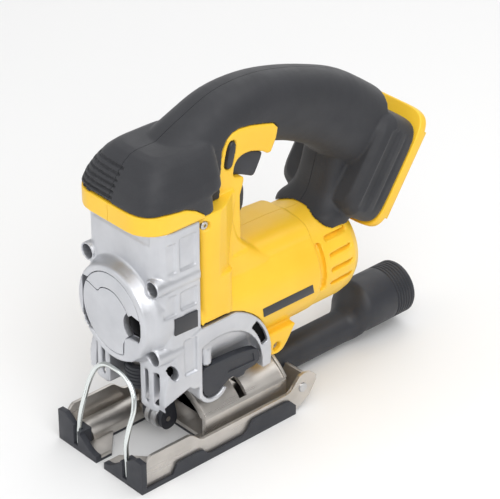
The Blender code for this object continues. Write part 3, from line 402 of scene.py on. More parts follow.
shadowBlack = plainMetal("shadowBlack", (0.006, 0.006, 0.007), 0.6)
yellow = madeFinish(
    "mouldedYellow", (0.94, 0.595, 0.032), 0.38, tint=(22, 4, (0.90, 0.53, 0.025), (0.95, 0.60, 0.04)),
    rough=(60, 4, 0.34, 0.46), bump=(1400, 2, 0.25, 0.00012),
    **{"Coat Weight": 0.08, "Coat Roughness": 0.3, "Subsurface Weight": 0.04, "Subsurface Scale": 0.002})
rubber = madeFinish(
    "gripRubber", (0.019, 0.02, 0.024), 0.6, tint=(30, 4, (0.017, 0.018, 0.022), (0.025, 0.026, 0.031)),
    rough=(90, 4, 0.55, 0.7), bump=(1100, 3, 0.45, 0.0002),
    **{"Sheen Weight": 0.12, "Sheen Roughness": 0.5})
nylon = madeFinish(
    "filledNylon", (0.026, 0.028, 0.035), 0.46, tint=(40, 4, (0.023, 0.025, 0.032), (0.032, 0.034, 0.042)),
    rough=(120, 4, 0.42, 0.56), bump=(1700, 2, 0.35, 0.00012))
cast = madeFinish(
    "castAluminium", (0.60, 0.61, 0.64), 0.42, 0.82, tint=(35, 6, (0.55, 0.56, 0.59), (0.66, 0.67, 0.70)),
    rough=(150, 5, 0.36, 0.50), bump=(1300, 4, 0.3, 0.00015))
zinc = madeFinish(
    "brightZinc", (0.78, 0.82, 0.81), 0.2, 1, rough=(220, 4, 0.14, 0.28), bump=(500, 4, 0.06, 0.0001)
)
label = madeFinish(
    "blankLabel", (0.03, 0.031, 0.036), 0.32, rough=(300, 4, 0.28, 0.38), bump=(900, 4, 0.08, 0.0001)
)
steel = satinSteel()
brightSteel = satinSteel("brightSteel", (0.56, 0.56, 0.57))
darkSteel = satinSteel("darkSteel", (0.12, 0.12, 0.13))
copper = plainMetal("varnishedCopper", (0.72, 0.36, 0.19), 0.36)
bronze = plainMetal("sinteredBronze", (0.55, 0.38, 0.2), 0.4)
slotFinish = {
    "yellow_plastic": yellow, "black_rubber": rubber, "black_nylon": nylon, "cast_aluminium": cast,
    "steel": steel, "zinc_wire": zinc, "dark_plate": label, "copper_winding": copper, "bronze": bronze,
}
print("finishes made")

# Camera, light and floor

view = {
    "direction": (0.5775, 0.6355, 0.5125),  # from the tool to the camera
    "distance": 1.3,
    "target": (-0.048, 0, 0.0975),
    "lens": 162,
    "sensor": 36,
    "lampsAim": (0, 0, 0.09),
    "roomLight": 0.42,
    "floorGrey": (0.86, 0.86, 0.86),
    "floorHalf": 4000,
}


def makeStage():
    aim, away = Vector(view["target"]), Vector(view["direction"]).normalized()
    camera = bpy.data.cameras.new("camera")
    camera.lens = view["lens"]
    camera.sensor_width = view["sensor"]
    camera.clip_start = 0.05
    eye = placed("camera", camera)
    eye.location = aim + away * view["distance"]
    eye.rotation_euler = (-away).to_track_quat("-Z", "Y").to_euler()
    bpy.context.scene.camera = eye
    lamps = (  # name, place, size, power in watts
        ("softKey", (0.55, 1.15, 1.25), 1.3, 17.5),
        ("softFill", (1.4, -0.35, 0.7), 1.4, 6.5),
        ("softTop", (-0.35, 0.1, 1.5), 1.6, 11.5),
        ("softRear", (-1.3, -0.9, 0.8), 1.2, 4),
    )
    for name, place, size, power in lamps:
        lamp = bpy.data.lights.new(name, "AREA")
        lamp.size = size
        lamp.energy = power
        holder = placed(name, lamp)
        holder.location = place
        toward = Vector(view["lampsAim"]) - Vector(place)
        holder.rotation_euler = toward.to_track_quat("-Z", "Y").to_euler()
    world = bpy.data.worlds.new("paleRoom")
    world.use_nodes = True
    glow = world.node_tree.nodes["Background"]
    glow.inputs["Color"].default_value = (1, 1, 1, 1)
    glow.inputs["Strength"].default_value = view["roomLight"]
    bpy.context.scene.world = world
    bpy.context.scene.view_settings.view_transform = "Standard"
    paper = baseFinish("palePaper", view["floorGrey"], 0.85)[0]
    bm = bmesh.new()
    bmesh.ops.create_grid(bm, x_segments=2, y_segments=2, size=view["floorHalf"])
    floor = asObject("floor", bm, paper)
    print("stage made")


makeStage()

# Yellow motor housing

archPlace = (5.5, 0, 49)  # the round saddle's axis, across the tool
archRadius = 40.5
archFlat = (archPlace[0], archPlace[2])
wide = 60  # a cut this far out clears either side of the tool

housing = {
    "barrelRadius": 33.3,
    "barrelRear": -112.5,
    "boreRear": 27.6,
    "boreFront": 30,
    "joint": 17.2,  # where it meets the gear case, along X
    "bandLow": 156.3,
    "bandHigh": 168,
    "bandHalf": 33,
    "panelHalf": 19.2,
    "innerHalf": 16.2,
    "vents": 4,
    "ventWide": 2.4,
    "ventPitch": 9,
    "ventDeep": 3.4,
    "screws": ((13, 150.5, 34, 30.8), (-42, 47.6, 30.4, 27.4)),  # x, z, face and head, out from the middle
    "lockPlace": (-16.2, 178.5),
    "lockLean": math.radians(14),
    "voxel": 0.72,
    "ease": 5,
}


def bandEdge(lift):  # the sloping line where the yellow band meets the cap, seen from the side
    line = [(-3, 157.2), (14.5, 158.6), (20, 162.8), (27, 166), (42.5, 168), (70, 168)]
    return [(x, z + lift) for x, z in line]


def bandShape(low, high, inset):
    h = housing
    half, front, corner = h["bandHalf"] - inset, bossFront - inset, 17
    bend = arcPoints(front - corner, half - corner, corner, 0, 90, 10)
    side = bend + [(13.8 + inset, half)]
    return slab("Z", bothSides(side), low, high)


def panelShape(half, grow=0):
    g = grow
    front = [
        (-2 + g, 116), (-2 + g, 150), (-5.4 + g, 157), (-7 + g, 168), (-8.8 + g, 175), (-11.4 + g, 183 + g),
    ]
    top = [
        (-14.5 + g, 188.4 + g), (-18.5, 191.2 + g), (-23.5, 192 + g), (-32, 191 + g), (-42, 188.5 + g),
        (-49, 186.4 + g), (-52 - g, 183),
    ]
    rear = [(-50.6 - g, 177), (-46.6 - g, 169.4)]
    arch = [
        (-44, 169.6), (-41, 171.8), (-37.5, 173.4), (-34, 174.6), (-30, 175.6), (-26, 175.6), (-22, 174),
        (-19.8, 171.5), (-18.8, 168), (-18.6, 165), (-20, 163), (-24, 162), (-26.5, 161.2),
    ]
    if grow:
        arch = [(-46 - g, 163 - g), (-27 - g, 158 - g)]
    low = [(-25.8 - g, 157), (-23.6 - g, 151), (-24 - g, 116)]
    return slab("Y", front + top + rear + arch + low, -half - grow, half + grow)


def neckShape(grow=0):
    keys = (
        (78, -8, 33.4), (112, -8, 33.4), (128, -10.5, 33.3), (140, -16, 33), (152, -18, 32.6),
        (157 + grow, -18, 32),
    )
    rings = []
    for z, rear, half in keys:
        rings.append(level(z, housing["joint"] + grow, rear - grow, half + grow, 6))
    return lofted(rings, 48)


def barrelProfile(grow=0):
    r, rear, joint = housing["barrelRadius"] + grow, housing["barrelRear"] - grow, housing["joint"]
    nose = [
        (rear, 0), (rear, r - 12), (rear + 1.2, r - 8.6), (rear + 4, r - 5), (rear + 9, r - 2),
        (rear + 16, r - 0.8),
    ]
    step = [(-74.5, r - 0.8), (-73.4, r - 0.2), (-66, r), (-20, r), (joint, r), (joint, 0)]
    return nose + step


def lockStation(y, long, thick):  # the lock button's leaning outline, at a distance across the tool
    (x, z), lean = housing["lockPlace"], housing["lockLean"]
    up, along = (-math.sin(lean), 0, math.cos(lean)), (math.cos(lean), 0, math.sin(lean))
    return (x, y, z), up, along, long, thick, 3


def makeHousing():
    h = housing
    shell = asObject("housingShell", turned("X", (0, 0, motorZ), barrelProfile(), 72))
    lug = slab(
        "Y",
        [
            (-57, 58), (-50, 47.5), (-46.5, 43.6), (-42, 42.6), (-37.6, 43.4), (-35, 46.6), (-34.5, 50),
            (-34, 58),
        ],
        -30.2, 30.2,
    )
    steps = []
    add(steps, neckShape(), panelShape(h["panelHalf"]), bandShape(h["bandLow"], h["bandHigh"], 0), lug)
    # from the neck down into the barrel: height, rear, half width
    keys = (
        (98, -62, 25), (106, -50, 24.6), (113, -37, 23.6), (119, -29, 22.6), (126, -23, 22), (138, -20, 21),
    )
    add(steps, lofted([level(z, 0, rear, half, 4) for z, rear, half in blended(keys, 2)], 48))
    brow = [
        ((x, 0, 100), (0, 1, 0), (0, 0, 1), 23.5, tall, 3.4)
        for x, tall in ((-74, 15.2), (-60, 16.2), (-8, 16.4))
    ]
    add(steps, lofted(brow, 48))
    for side in (-1, 1):
        taper = [(6, 33.8), (-4, 29.5), (-15, 22), (-30, 21), (-30, 60), (6, 60)]
        cut(steps, slab("Z", [(x, side * y) for x, y in taper], 116, 162))
    for radius, low, high in ((h["boreRear"], h["barrelRear"] + 7, -60), (h["boreFront"], -70, 40)):
        cut(steps, rod("X", (0, 0, motorZ), radius, low, high, 64))
    hollow = ((101, 43, -7, 28.6), (141, 37, -1, 28.6), (178, 34, 2, 15.6))
    cut(steps, lofted([level(*station, 8) for station in hollow], 40))
    cut(steps, rod("Y", archPlace, archRadius + seamGap, -wide, wide, 96))
    cut(steps, block((-34.3, -60, 20), (60, 60, 47.5)))
    cut(steps, block((17.5, -60, 20), (90, 60, 156)))
    for low, high in ((-60, -19.4), (19.4, 60)):
        cut(steps, slab("Y", bandEdge(0) + [(70, 190), (-3, 190)], low, high))
    cut(steps, bandShape(150, 175, 3.6))
    inner = h["innerHalf"]
    cut(
        steps, block((-21, -inner, 118), (-5, inner, 184)),
        block((-wide, -inner, 162.5), (-17.5, inner, 184)),
    )
    cut(steps, lofted([lockStation(y, 8.5, 3.2) for y in (-wide, wide)], 32))
    vents = [block((-79, -wide, 72.5), (-74.8, wide, 101))]
    for i in range(h["vents"]):
        low = 73 + h["ventPitch"] * i
        high = low + h["ventWide"]
        vents.append(
            slab("Y", [(-101, low + 0.6), (-83, low), (-83, high), (-101, high + 0.6)], -wide, wide)
        )
    core = turned("X", (0, 0, motorZ), barrelProfile(-h["ventDeep"]), 72)
    cut(steps, shapeOf(carve(asObject("vents", merged(*vents)), [("cut", core)])))
    for side in (-1, 1):  # screw recesses, and the flat the strip lies in
        for x, z, face, head in h["screws"]:
            cut(steps, rod("Y", (x, 0, z), 2.9, *sided(side, face - 4.4, face), 28))
        cut(
            steps,
            slab("Y", [(-68.5, 74.6), (-28.4, 74.6), (-27.2, 81.4), (-67.3, 81.4)], *sided(side, 33, 34.8)),
        )
    carve(shell, steps)
    soften(shell, h["voxel"], h["ease"])
    fitHalves(shell, "housing", "yellow_plastic")


makeHousing()

# Black overmoulded handle, cap, post and battery foot

handle = {
    "wall": 3.2,
    "voxel": 0.8,
    "ease": 4,
    "footMiddle": (-135.5, 126),
    "footTilt": math.atan2(0.55, 0.835),
    "footThick": 28,
    "footLong": 66.5,
    "footHalf": 32.4,
    "ribSpan": (168, 188.3),
    "ribAcross": (-28, 3),
    "ribFront": 36,
    "ribPitch": 2.9,
    "ribDeep": 1.5,
}
# centre x, centre z, rise in degrees, half height, half width
handlePath = ((30, 174, 22, 12.5, 19), (14, 178.5, 22, 16, 19), (-4, 184, 20, 18.5, 19),
              (-24, 189.1, 9, 20.9, 19), (-45, 190.3, -6, 20.7, 18.5), (
                  -66, 186.5, -15, 20.8, 18.5
              ), (-88, 178.5, -23, 22, 19.5),
              (-108, 168, -32, 24, 22.5), (-127, 151, -34, 27, 25.5))


def gripShape(inset=0, steps=4):
    stations = []
    for i, (x, z, rise, tall, wide) in enumerate(blended(handlePath, steps)):
        turn = math.radians(rise)
        start = inset if i == 0 else 0
        stations.append(
            (
                (x - start, 0, z), (0, 1, 0), (math.sin(turn), 0, math.cos(turn)), wide - inset,
                tall - inset, 2.5,
            ),
        )
    return lofted(stations, 56)


def capShape(inset=0):
    keys = (
        (168.3, 55.1, 32.6), (170.5, 54.7, 32.3), (176, 52.4, 30.8), (183, 48.2, 27.4), (188.6, 43.2, 23.6),
        (191.6, 38.6, 20.4), (192.8, 34, 17.4),
    )
    stations = []
    for i, (z, front, half) in enumerate(keys):
        low = -2 * inset if i == 0 else -0.4 * inset
        stations.append(level(z + low, front - inset, inset - 6, half - inset, 4.5))
    return lofted(stations, 64)


def neckCover(inset=0):  # the handle's root behind the cap, down to the neck
    keys = ((152, 8, -14, 23.5), (160, 12, -16, 22.6), (172, 16, -17, 21.4), (184, 18, -16, 19.6))
    return lofted(
        [level(z - inset, front + inset, rear + inset, half - inset, 4) for z, front, rear, half in keys],
        48,
    )


def skirtShape(inset=0):  # where the cap comes down behind the band onto the neck
    stations = []
    keys = (
        (157.3, 3.6, 44, 32.5), (168.3, 4.6, 44, 32.4), (176, 6.6, 42, 30), (184.5, 9.6, 36, 25.8),
        (190.4, 13.5, 28, 20.4),
    )
    for i, (z, rear, front, half) in enumerate(keys):
        low = -3 * inset if i == 0 else -0.5 * inset
        stations.append(level(z + low, front - inset, rear + inset, half - inset, 7))
    return lofted(stations, 48)


def footAxes():
    tilt = handle["footTilt"]
    down, out = Vector((math.sin(tilt), 0, -math.cos(tilt))), Vector((-math.cos(tilt), 0, -math.sin(tilt)))
    return Vector((handle["footMiddle"][0], 0, handle["footMiddle"][1])), down, out


def footSlab(stops, shift=0):  # stops are (how far out, half length, half width)
    middle, down, out = footAxes()
    return lofted(
        [(middle + out * at + down * shift, down, (0, 1, 0), *reach, 6) for at, *reach in stops], 64
    )


def footBlock(out0, out1, down0, down1, y0, y1, edge=0):
    middle, down, out = footAxes()
    bm = block((down0, y0, out0), (down1, y1, out1), edge)
    turn = Matrix((down, Vector((0, 1, 0)), out)).transposed().to_4x4()
    bmesh.ops.transform(bm, matrix=Matrix.Translation(middle) @ turn, verts=bm.verts[:])
    bmesh.ops.recalc_face_normals(bm, faces=bm.faces[:])
    return bm


def footShape(inset=0):
    long, half, top = handle["footLong"] / 2 - inset, handle["footHalf"] - inset, inset - handle["footThick"]
    stops = ((1.5 * inset, 0.6), (1.5 * inset - 1.5, 0), (top + 9, 0), (top + 3, 2.4), (top, 6))
    return footSlab([(at, long - ease, half - ease) for at, ease in stops])


def postShape(inset=0):
    keys = (
        (104, -82, -112, 24), (111, -82.5, -115, 23), (115.5, -88, -118, 19.5), (122, -93.5, -121, 17),
        (134, -97.5, -123, 15.8), (148, -102, -125, 16.5), (162, -108, -126, 18),
    )
    path = blended(keys, 3)
    return lofted(
        [level(z, front - inset, rear + inset, half - inset, 3) for z, front, rear, half in path], 48
    )


def makeHandle():
    h = handle
    wall = h["wall"]
    shell = asObject("handleShell", gripShape())
    steps = []
    add(steps, capShape(), skirtShape(), neckCover(), postShape(), footShape())
    for side in (-1, 1):  # raised pads on the foot's sides and the step above them
        for out0, out1, deep in ((-20.5, -13.6, 30.4), (-8.4, -6.8, 31.2)):
            cut(steps, footBlock(out0, out1, -25, 26, *sided(side, deep, 40)))
    cut(steps, gripShape(wall + 1, 2), capShape(wall), skirtShape(wall), neckCover(wall))
    cut(steps, postShape(wall + 1), footShape(wall + 1))
    mouth = (h["footLong"] / 2 - 9, h["footHalf"] - 9)
    cut(steps, footSlab([(-12, *mouth), (6, *mouth)]))
    # room for the yellow shell, a seam's gap away
    cut(
        steps, turned("X", (0, 0, motorZ), barrelProfile(seamGap), 64), neckShape(seamGap),
        panelShape(wide, seamGap),
    )
    cut(steps, slab("Y", [(13.5, 90)] + bandEdge(seamGap)[1:] + [(70, 90)], -wide, wide))
    carve(shell, steps)
    soften(shell, h["voxel"], h["ease"])
    (low, high), (right, left) = h["ribSpan"], h["ribAcross"]
    for v in shell.data.vertices:  # fine grooves pressed into the cap's front
        x, y, z = v.co / mm
        if x > h["ribFront"] and right < y < left and low < z < high:
            wave = max(0, math.sin((z - low) / h["ribPitch"] * tau))
            v.co -= v.normal * h["ribDeep"] * wave * min(1, (left - y) / 2) * mm
    fitHalves(shell, "handle", "black_rubber")


makeHandle()


def roundEdges(obj, width, segments=3, angle=28):  # a bevel on every corner sharper than the angle
    bm = bmesh.new()
    bm.from_mesh(obj.data)
    bmesh.ops.remove_doubles(bm, verts=bm.verts[:], dist=0.01 * mm)
    bmesh.ops.dissolve_limit(bm, angle_limit=math.radians(0.6), verts=bm.verts[:], edges=bm.edges[:])
    bm.to_mesh(obj.data)
    bm.free()
    corner = obj.modifiers.new("corner", "BEVEL")
    corner.width = width * mm
    corner.segments = segments
    corner.limit_method = "ANGLE"
    corner.angle_limit = math.radians(angle)
    corner.harden_normals = False
    bake(obj)
    return shade(obj, 32)


# Cast gear case

gearCase = {
    "half": 32.4,
    "rear": 17.8,
    "front": 47.5,
    "corner": 11,
    "low": 40.8,
    "bossRadius": 29.5,
    "bossZ": 98,
    "cheek": 13.7,
    "discRadius": 24.6,
    "discThick": 4.6,
    "screws": (123, 78.6),
    "screwY": 27.4,
    "screwBoss": 5.6,
    "screwBore": 4.4,
    "saddleRadius": 37.3,
    "cradleRoom": 44,  # what the tilting cradle sweeps
    "drumRadius": 32.8,
    "shaftRoom": 7.6,
    "boltPlace": (-17, 0, 0),
    "boltRoom": 2.7,
    "leverLug": (12, 28, 0),
    "hingeRoom": 5.7,
    "window": (38.6, 33.6, 138, 167),  # outer and inner radius, first and last degree
    "motorRoom": 30,
    "plungerRoom": 7.65,
    "ovalPlace": (38.6, 66.4),
    "selectorPlace": (33, 0, 58),
    "voxel": 0.7,
    "ease": 3,
}


def flatBand(centre, outer, inner, start, end, steps):  # an arc-shaped strip, as flat points
    return arcPoints(*centre, outer, start, end, steps) + arcPoints(*centre, inner, end, start, steps)


def makeGearCase():
    g = gearCase
    rear, front, half, corner, top = g["rear"], g["front"], g["half"], g["corner"], caseHigh.z
    side = arcPoints(front - corner, half - corner, corner, 0, 90, 8) + [(rear, half)]
    shell = asObject("gearCaseShell", slab("Z", bothSides(side), g["low"], top))
    r = g["bossRadius"]
    flare = [
        (30, 0), (30, r + 3.4), (44, r + 3.2), (47.4, r + 2.6), (49.4, r + 1.4), (52.6, r + 0.2),
        (bossFront - 0.9, r - 0.3), (bossFront, r - 1.2), (bossFront, 0),
    ]
    steps = [("join", turned("X", (0, 0, g["bossZ"]), flare, 96))]
    for z in g["screws"]:
        for sign in (-1, 1):
            add(
                steps,
                rod("X", (0, sign * (g["screwY"] + 0.4), z), g["screwBoss"], rear + 0.4, front + 1.6, 28),
            )
    add(steps, rod("Y", archPlace, archRadius, -half - 0.7, half + 0.7, 96))
    pockets = [
        (34.6, 44.6, 129.8, 149), (20.4, 32.4, 129.8, 150.5), (34.6, 44.6, 103.5, 116.6),
        (20.4, 32.4, 104.6, 116.6), (21.6, 30.6, 61, 84),
    ]
    for x0, x1, z0, z1 in pockets:
        for sign in (-1, 1):
            y0, y1 = sided(sign, half - 1.3, half + 4)
            cut(steps, block((x0, y0, z0), (x1, y1, z1), 0.6))
    cut(steps, block((front - 1.1, -24.5, 147.6), (60, 24.5, top + 1), 0.5))
    cut(steps, rod("X", (0, 0, 0), g["cradleRoom"], -90, 90, 96))
    roomX, roomZ, roomR, edge = 4, 45, 32, 17.6
    start = math.degrees(math.acos((edge - roomX) / roomR))
    cut(
        steps,
        slab(
            "Y", [(edge, 20)] + arcPoints(roomX, roomZ, roomR, start, 180, 30) + [(roomX - roomR, 20)], 23,
            60,
        ),
    )
    cut(steps, block((-60, -60, 0), (90, 60, g["low"])))
    tongue = flatBand((9.2, 46), 11.6, 8.6, 14, -148, 20)  # the lip round the bevel lever's nose
    add(steps, slab("Y", tongue, 26.4, half + 0.7, 0.6))
    drum = asObject("drumBody", rod("X", (0, 0, motorZ), g["drumRadius"], -26, 16, 96))
    add(steps, shapeOf(carve(drum, [("keep", rod("Y", archPlace, archRadius - 1, -wide, wide, 96))])))
    add(steps, block((-31, -12, 30), (-3, 12, motorZ - 20)))
    add(steps, rod("Z", g["leverLug"], 3.9, 60.2, 70, 32))
    cut(steps, rod("X", (0, 0, 0), g["saddleRadius"], -90, 90, 96))
    cut(steps, rod("X", (0, 0, motorZ), g["motorRoom"], -90, rear, 64))
    cut(steps, block((-60, -60, motorZ + 5.6), (rear - 0.2, 60, 130)))
    cut(steps, block((-60, -25.5, motorZ + 3), (26.4, 25.5, gearZ + 29.5)))
    cut(steps, block((20, -21.5, gearZ - 21), (44.2, 21.5, gearZ + 19.6)))
    cut(steps, rod("X", (0, 0, motorZ), g["shaftRoom"], 0, 26.4, 24))
    cheek = g["cheek"]
    cut(steps, block((18.6, -cheek, 20), (46.2, cheek, 73)))
    cut(steps, block((30, -cheek, 20), (90, cheek, g["bossZ"] - r)))
    cut(steps, rod("Z", (plungerX, 0, 0), g["plungerRoom"], 60, 170, 32))
    cut(
        steps, rod("X", (0, 0, g["bossZ"]), g["discRadius"] + 0.3, bossFront - g["discThick"] - 0.3, 90, 96)
    )
    cut(steps, rod("Z", g["boltPlace"], g["boltRoom"], 20, 57, 24))
    cut(steps, rod("Y", g["selectorPlace"], 3.25, -60, -10, 24))
    pinX, pinY = middleOf("lever_pin")[:2]
    cut(steps, rod("Z", (pinX, pinY, 0), g["hingeRoom"], g["bossZ"] - 18.4, g["bossZ"] + 14.5, 32))
    for z in g["screws"]:
        for sign in (-1, 1):
            cut(steps, rod("X", (0, sign * (g["screwY"] + 0.5), z), g["screwBore"], front - 9, 60, 28))
    # the land beside the lever's foot, flush with the disc
    land = slab(
        "X", [(10, 86.6), (9.6, 79), (9.4, 72), (16, 73), (24, 80), (26.4, 88), (23.6, 89.6), (14, 88.4)],
        bossFront - g["discThick"] - 1, bossFront - 0.25,
    )
    add(steps, land)
    for sign in (-1, 1):  # the sides end higher than the cheeks
        flank = [(45.4, 20), (45.4, 46.6), (33, 50.4), (27.2, 52.2), (24.2, 49.6), (20.2, 49), (20.2, 20)]
        cut(steps, slab("Y", flank, *sided(sign, 15.8, wide)))
    ovalX, ovalZ = g["ovalPlace"]
    for sign in (-1, 1):
        for y in (17.6, 24.6):  # the cheek's upright slots
            y0, y1 = sided(sign, y, y + 3)
            cut(steps, block((34, y0, 45.5), (60, y1, 67), 0.4))
        leaning = (0.42, 0, 0.91), (0.91, 0, -0.42), 5.4, 2.7, 2.2
        cut(steps, lofted([((ovalX, sign * at, ovalZ), *leaning) for at in (half - 6, half + 6)], 28))
        cut(steps, slab("Y", flatBand(archFlat, *g["window"], 12), *sided(sign, 28, wide)))
    carve(shell, steps)
    soften(shell, g["voxel"], g["ease"])
    shell.name = "gearCase"
    fit(shade(shell, 50), "tool", "cast_aluminium", "gear_case")
    for word, sign in (("Left", 1), ("Right", -1)):  # painted shade: near-black sheets in the windows and the oval socket, standing for the shade inside them
        window = slab(
            "Y", flatBand(archFlat, 39.4, 32.8, 136, 169, 12), *sided(sign, half - 4.4, half - 1.6)
        )
        socket = rod("Y", (ovalX, 0, ovalZ), 6.4, *sided(sign, half - 6.6, half - 5.6), 32)
        fit(
            shade(asObject("windowPaintedShade" + word, merged(window, socket))), "tool", "black_nylon",
            finish=shadowBlack,
        )
    print("gear case made")


makeGearCase()


def smoothLine(points, steps=5):  # a curve through flat points
    return [tuple(p) for p in blended(points, steps)]


def makeFrontDisc():  # fixed crescent above, blade release lever below
    g = gearCase
    low, high, z0 = bossFront - g["discThick"], bossFront - 0.2, g["bossZ"]
    split = smoothLine(
        [
            (-24.9, 110), (-19, 109.7), (-12.2, 107.9), (-9.2, 110.6), (-5, 112.4), (0, 112.9),
            (5.2, 111.6), (11.2, 107.2), (14.6, 102.5),
        ],
    )
    crescent = asObject("leverCover", rod("X", (0, 0, z0), g["discRadius"], low, high, 96))
    carve(
        crescent,
        [("keep", slab("X", split + [(17.6, 104.6), (30, 103), (30, 128), (-30, 128)], low - 1, high + 1))],
    )
    fit(roundEdges(crescent, 0.35), "tool", "cast_aluminium", "lever_cover")
    lever = asObject("clampLever", rod("X", (0, 0, z0), g["discRadius"], low, high, 96))
    above = [(y, z - 0.55) for y, z in split] + [(40, 101), (40, 140), (-40, 140), (-40, 109.4)]
    hole = arcPoints(20.2, 97.2, 9.8, 60, 300, 24)
    toe = [(15.2, 90.2), (12, 87.4), (9.4, 82.2), (8.8, 70), (40, 70), (40, 92)]
    pinX, pinY = middleOf("lever_pin")[:2]
    carve(lever, [
        ("cut", slab("X", above, low - 5, high + 5)),
        ("cut", slab("X", hole + [(34, 89), (34, 106)], low - 5, high + 5)),
        ("cut", slab("X", toe, low - 5, high + 5)),
        ("cut", rod("Z", (pinX, pinY, 0), 1.25, 60, 140, 24)),
    ])
    fit(roundEdges(lever, 0.4), "release_lever", "cast_aluminium", "clamp_lever")
    # painted shade: near-black sheets in the lever's round hole and along the disc's rim gap, with a small
    # dome inside the hole, standing for the shade there
    pocket = slab("X", arcPoints(17.4, 97.4, 9.6, 0, 350, 30), bossFront - 4.9, bossFront - 4.4)
    discGapShade = slab("X", flatBand((0, z0), 24.85, 24.1, -25, 24, 12), bossFront - 4.9, bossFront - 0.5)
    dome = [(bossFront - back, r) for back, r in ((4.5, 6.2), (2.6, 5), (1.9, 3.4), (1.7, 0), (4.5, 0))]
    pocketShade = asObject("leverPocketPaintedShade", merged(pocket, discGapShade, turned("X", (0, 17.6, 97.2), dome, 40)))
    fit(shade(pocketShade), "tool", "black_nylon", finish=shadowBlack)
    print("front disc made")


makeFrontDisc()


# a cap screw with a six-sided socket
def socketScrew(name, axis, centre, low, high, radius, head, headHigh, socket):
    profile = [
        (low, 0), (low, radius), (high - headHigh, radius), (high - headHigh, head), (high - 0.35, head),
        (high, head - 0.35), (high, 0),
    ]
    obj = asObject(name, turned(axis, centre, profile, 36))
    cutter = rod(axis, centre, socket, high - 1.8, high + 1, 6)
    return shade(carve(obj, [("cut", cutter)]), 30)


def makeScrews():
    g = gearCase
    for i, (sign, z) in enumerate([(sign, z) for sign in (1, -1) for z in g["screws"]]):
        place = (0, sign * (g["screwY"] + 0.5), z)
        screw = socketScrew(f"caseScrew{i + 1}", "X", place, 28.2, g["front"] - 5.6, 1.9, 3.7, 2.6, 1.9)
        fit(screw, "tool", "steel", f"case_screw_{i + 1}", finish=darkSteel)
    for x, z, face, out in housing["screws"]:
        for word in ("Left", "Right"):
            shank = [
                (0, 0), (0, 1.5), (out - 1.4, 1.5), (out - 1.4, 2.5), (out - 0.3, 2.5), (out, 2.1),
                (out, 0),
            ]
            head = asObject(f"housingHead{word}{int(abs(x))}", turned("Y", (x, 0, z), shank, 32))
            carve(head, [("cut", rod("Y", (x, 0, z), 1.1, out - 1.2, out + 1, 6))])
            if word == "Right":
                bm = bmesh.new()
                bm.from_mesh(head.data)
                mirroredY(bm)
                bm.to_mesh(head.data)
                bm.free()
            fit(shade(head, 30), "tool", "steel", finish=brightSteel)
    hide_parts("housing_screw_1")
    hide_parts("housing_screw_2")
    print("screws made")


makeScrews()


def makeLabels():  # blank plates
    y = gearCase["half"]
    badge = slab("Y", [(20.8, 90.3), (37.4, 90.9), (37.4, 101.6), (20.8, 101)], y - 0.2, y + 0.9, 0.3)
    fit(shade(asObject("caseBadge", badge)), "tool", "dark_plate", "case_badge")
    strip = slab("Y", [(-68.1, 75), (-28.8, 75), (-27.7, 81), (-66.9, 81)], 32.4, 33.35, 0.25)
    fit(shade(asObject("labelStrip", strip)), "tool", "dark_plate")
    print("labels made")


makeLabels()

# Shoe

shoe = {
    "front": soleHigh.x,
    "half": soleHigh.y,
    "flatRear": -52.5,
    "sole": 1.5,
    "plate": 2.5,
    "flange": 2,
    "high": 22,
    "low": 15.2,
    "beadY": 25.6,
    "beadRadius": 6,
    "opening": ((9, 18), (43, 18), (56, 3.5), (76, 3.5)),
    "cradleRadius": 37,
    "cradleWall": 3,
    "cradleHalf": 30,
    "cradleRear": -49.5,
    "cradleFront": 13.5,
    "cradleSlot": (-20, -14),
    "wireY": 22,
    "wireRadius": 1.5,
    "studPlace": (-57.5, 0, 15),
}


def bladeOpening(low, high):
    return slab("Z", bothSides(list(shoe["opening"])), low, high)


def makeShoePlate():
    s = shoe
    low = s["sole"] + 0.3
    high, half, front = low + s["plate"], s["half"] - 1.8, s["front"] - 4
    base = [
        (front, low), (front, high), (s["flatRear"], high), (-61, high + 5), (-66, 16.5), (-68.4, 16),
        (-62.6, 7), (-53.5, low),
    ]
    plate = asObject("shoePlate", slab("Y", base, -half + 0.1, half - 0.1))
    steps = []
    rail = [
        (front, low), (front, 17.5), (front - 1.5, 18.6), (front - 3.5, s["high"] - 1),
        (front - 5, s["high"]), (30.5, s["high"]), (28, s["high"] - 1), (22.4, s["low"] + 0.8),
        (20, s["low"]), (-46, s["low"]), (-49, s["low"] + 1.6), (-55, s["low"] + 8.4),
        (-59, s["low"] + 9.4), (-64, s["low"] + 8.2), (-68.4, s["low"] + 4.2), (-68.4, 16), (-62, 7),
        (-52.5, low),
    ]
    for sign in (-1, 1):
        add(steps, slab("Y", rail, *sided(sign, half - s["flange"], half)))
        y, r = s["beadY"], s["beadRadius"]
        if sign < 0:  # the far side's guide channel is the larger
            y, r = y + 0.4, r + 2.6
        arch = arcPoints(sign * y, high - 0.6, r, 0, 180, 20) + arcPoints(
            sign * y, high - 0.6, r - 1.6, 180, 0, 20
        )
        add(steps, slab("X", arch, 20.5, 57.4))
        cut(steps, block((57.6, sign * s["wireY"] - 4.2, low - 1), (90, sign * s["wireY"] + 4.2, 60)))
        y0, y1 = sided(sign, half - 7, half - 1)
        add(steps, block((-46, y0, high - 0.5), (27, y1, high + 2.2)))
    cut(steps, bladeOpening(-5, 60))
    cut(steps, block((-90, -11.5, 1.5), (-42, 11.5, 40)))
    for sign in (-1, 1):
        cut(steps, rod("Y", s["studPlace"], 2, *sided(sign, 20, wide), 24))
    carve(plate, steps)
    fit(roundEdges(plate, 0.45), "shoe", "steel", "shoe_plate")
    for word, sign in (("Left", 1), ("Right", -1)):
        stud = rod("Y", s["studPlace"], 2.9, *sided(sign, half - 1.6, half + 0.9), 28, edge=0.4)
        stud = asObject("railStud" + word, stud)
        fit(shade(stud), "shoe", "steel", finish=brightSteel)
    print("shoe plate made")


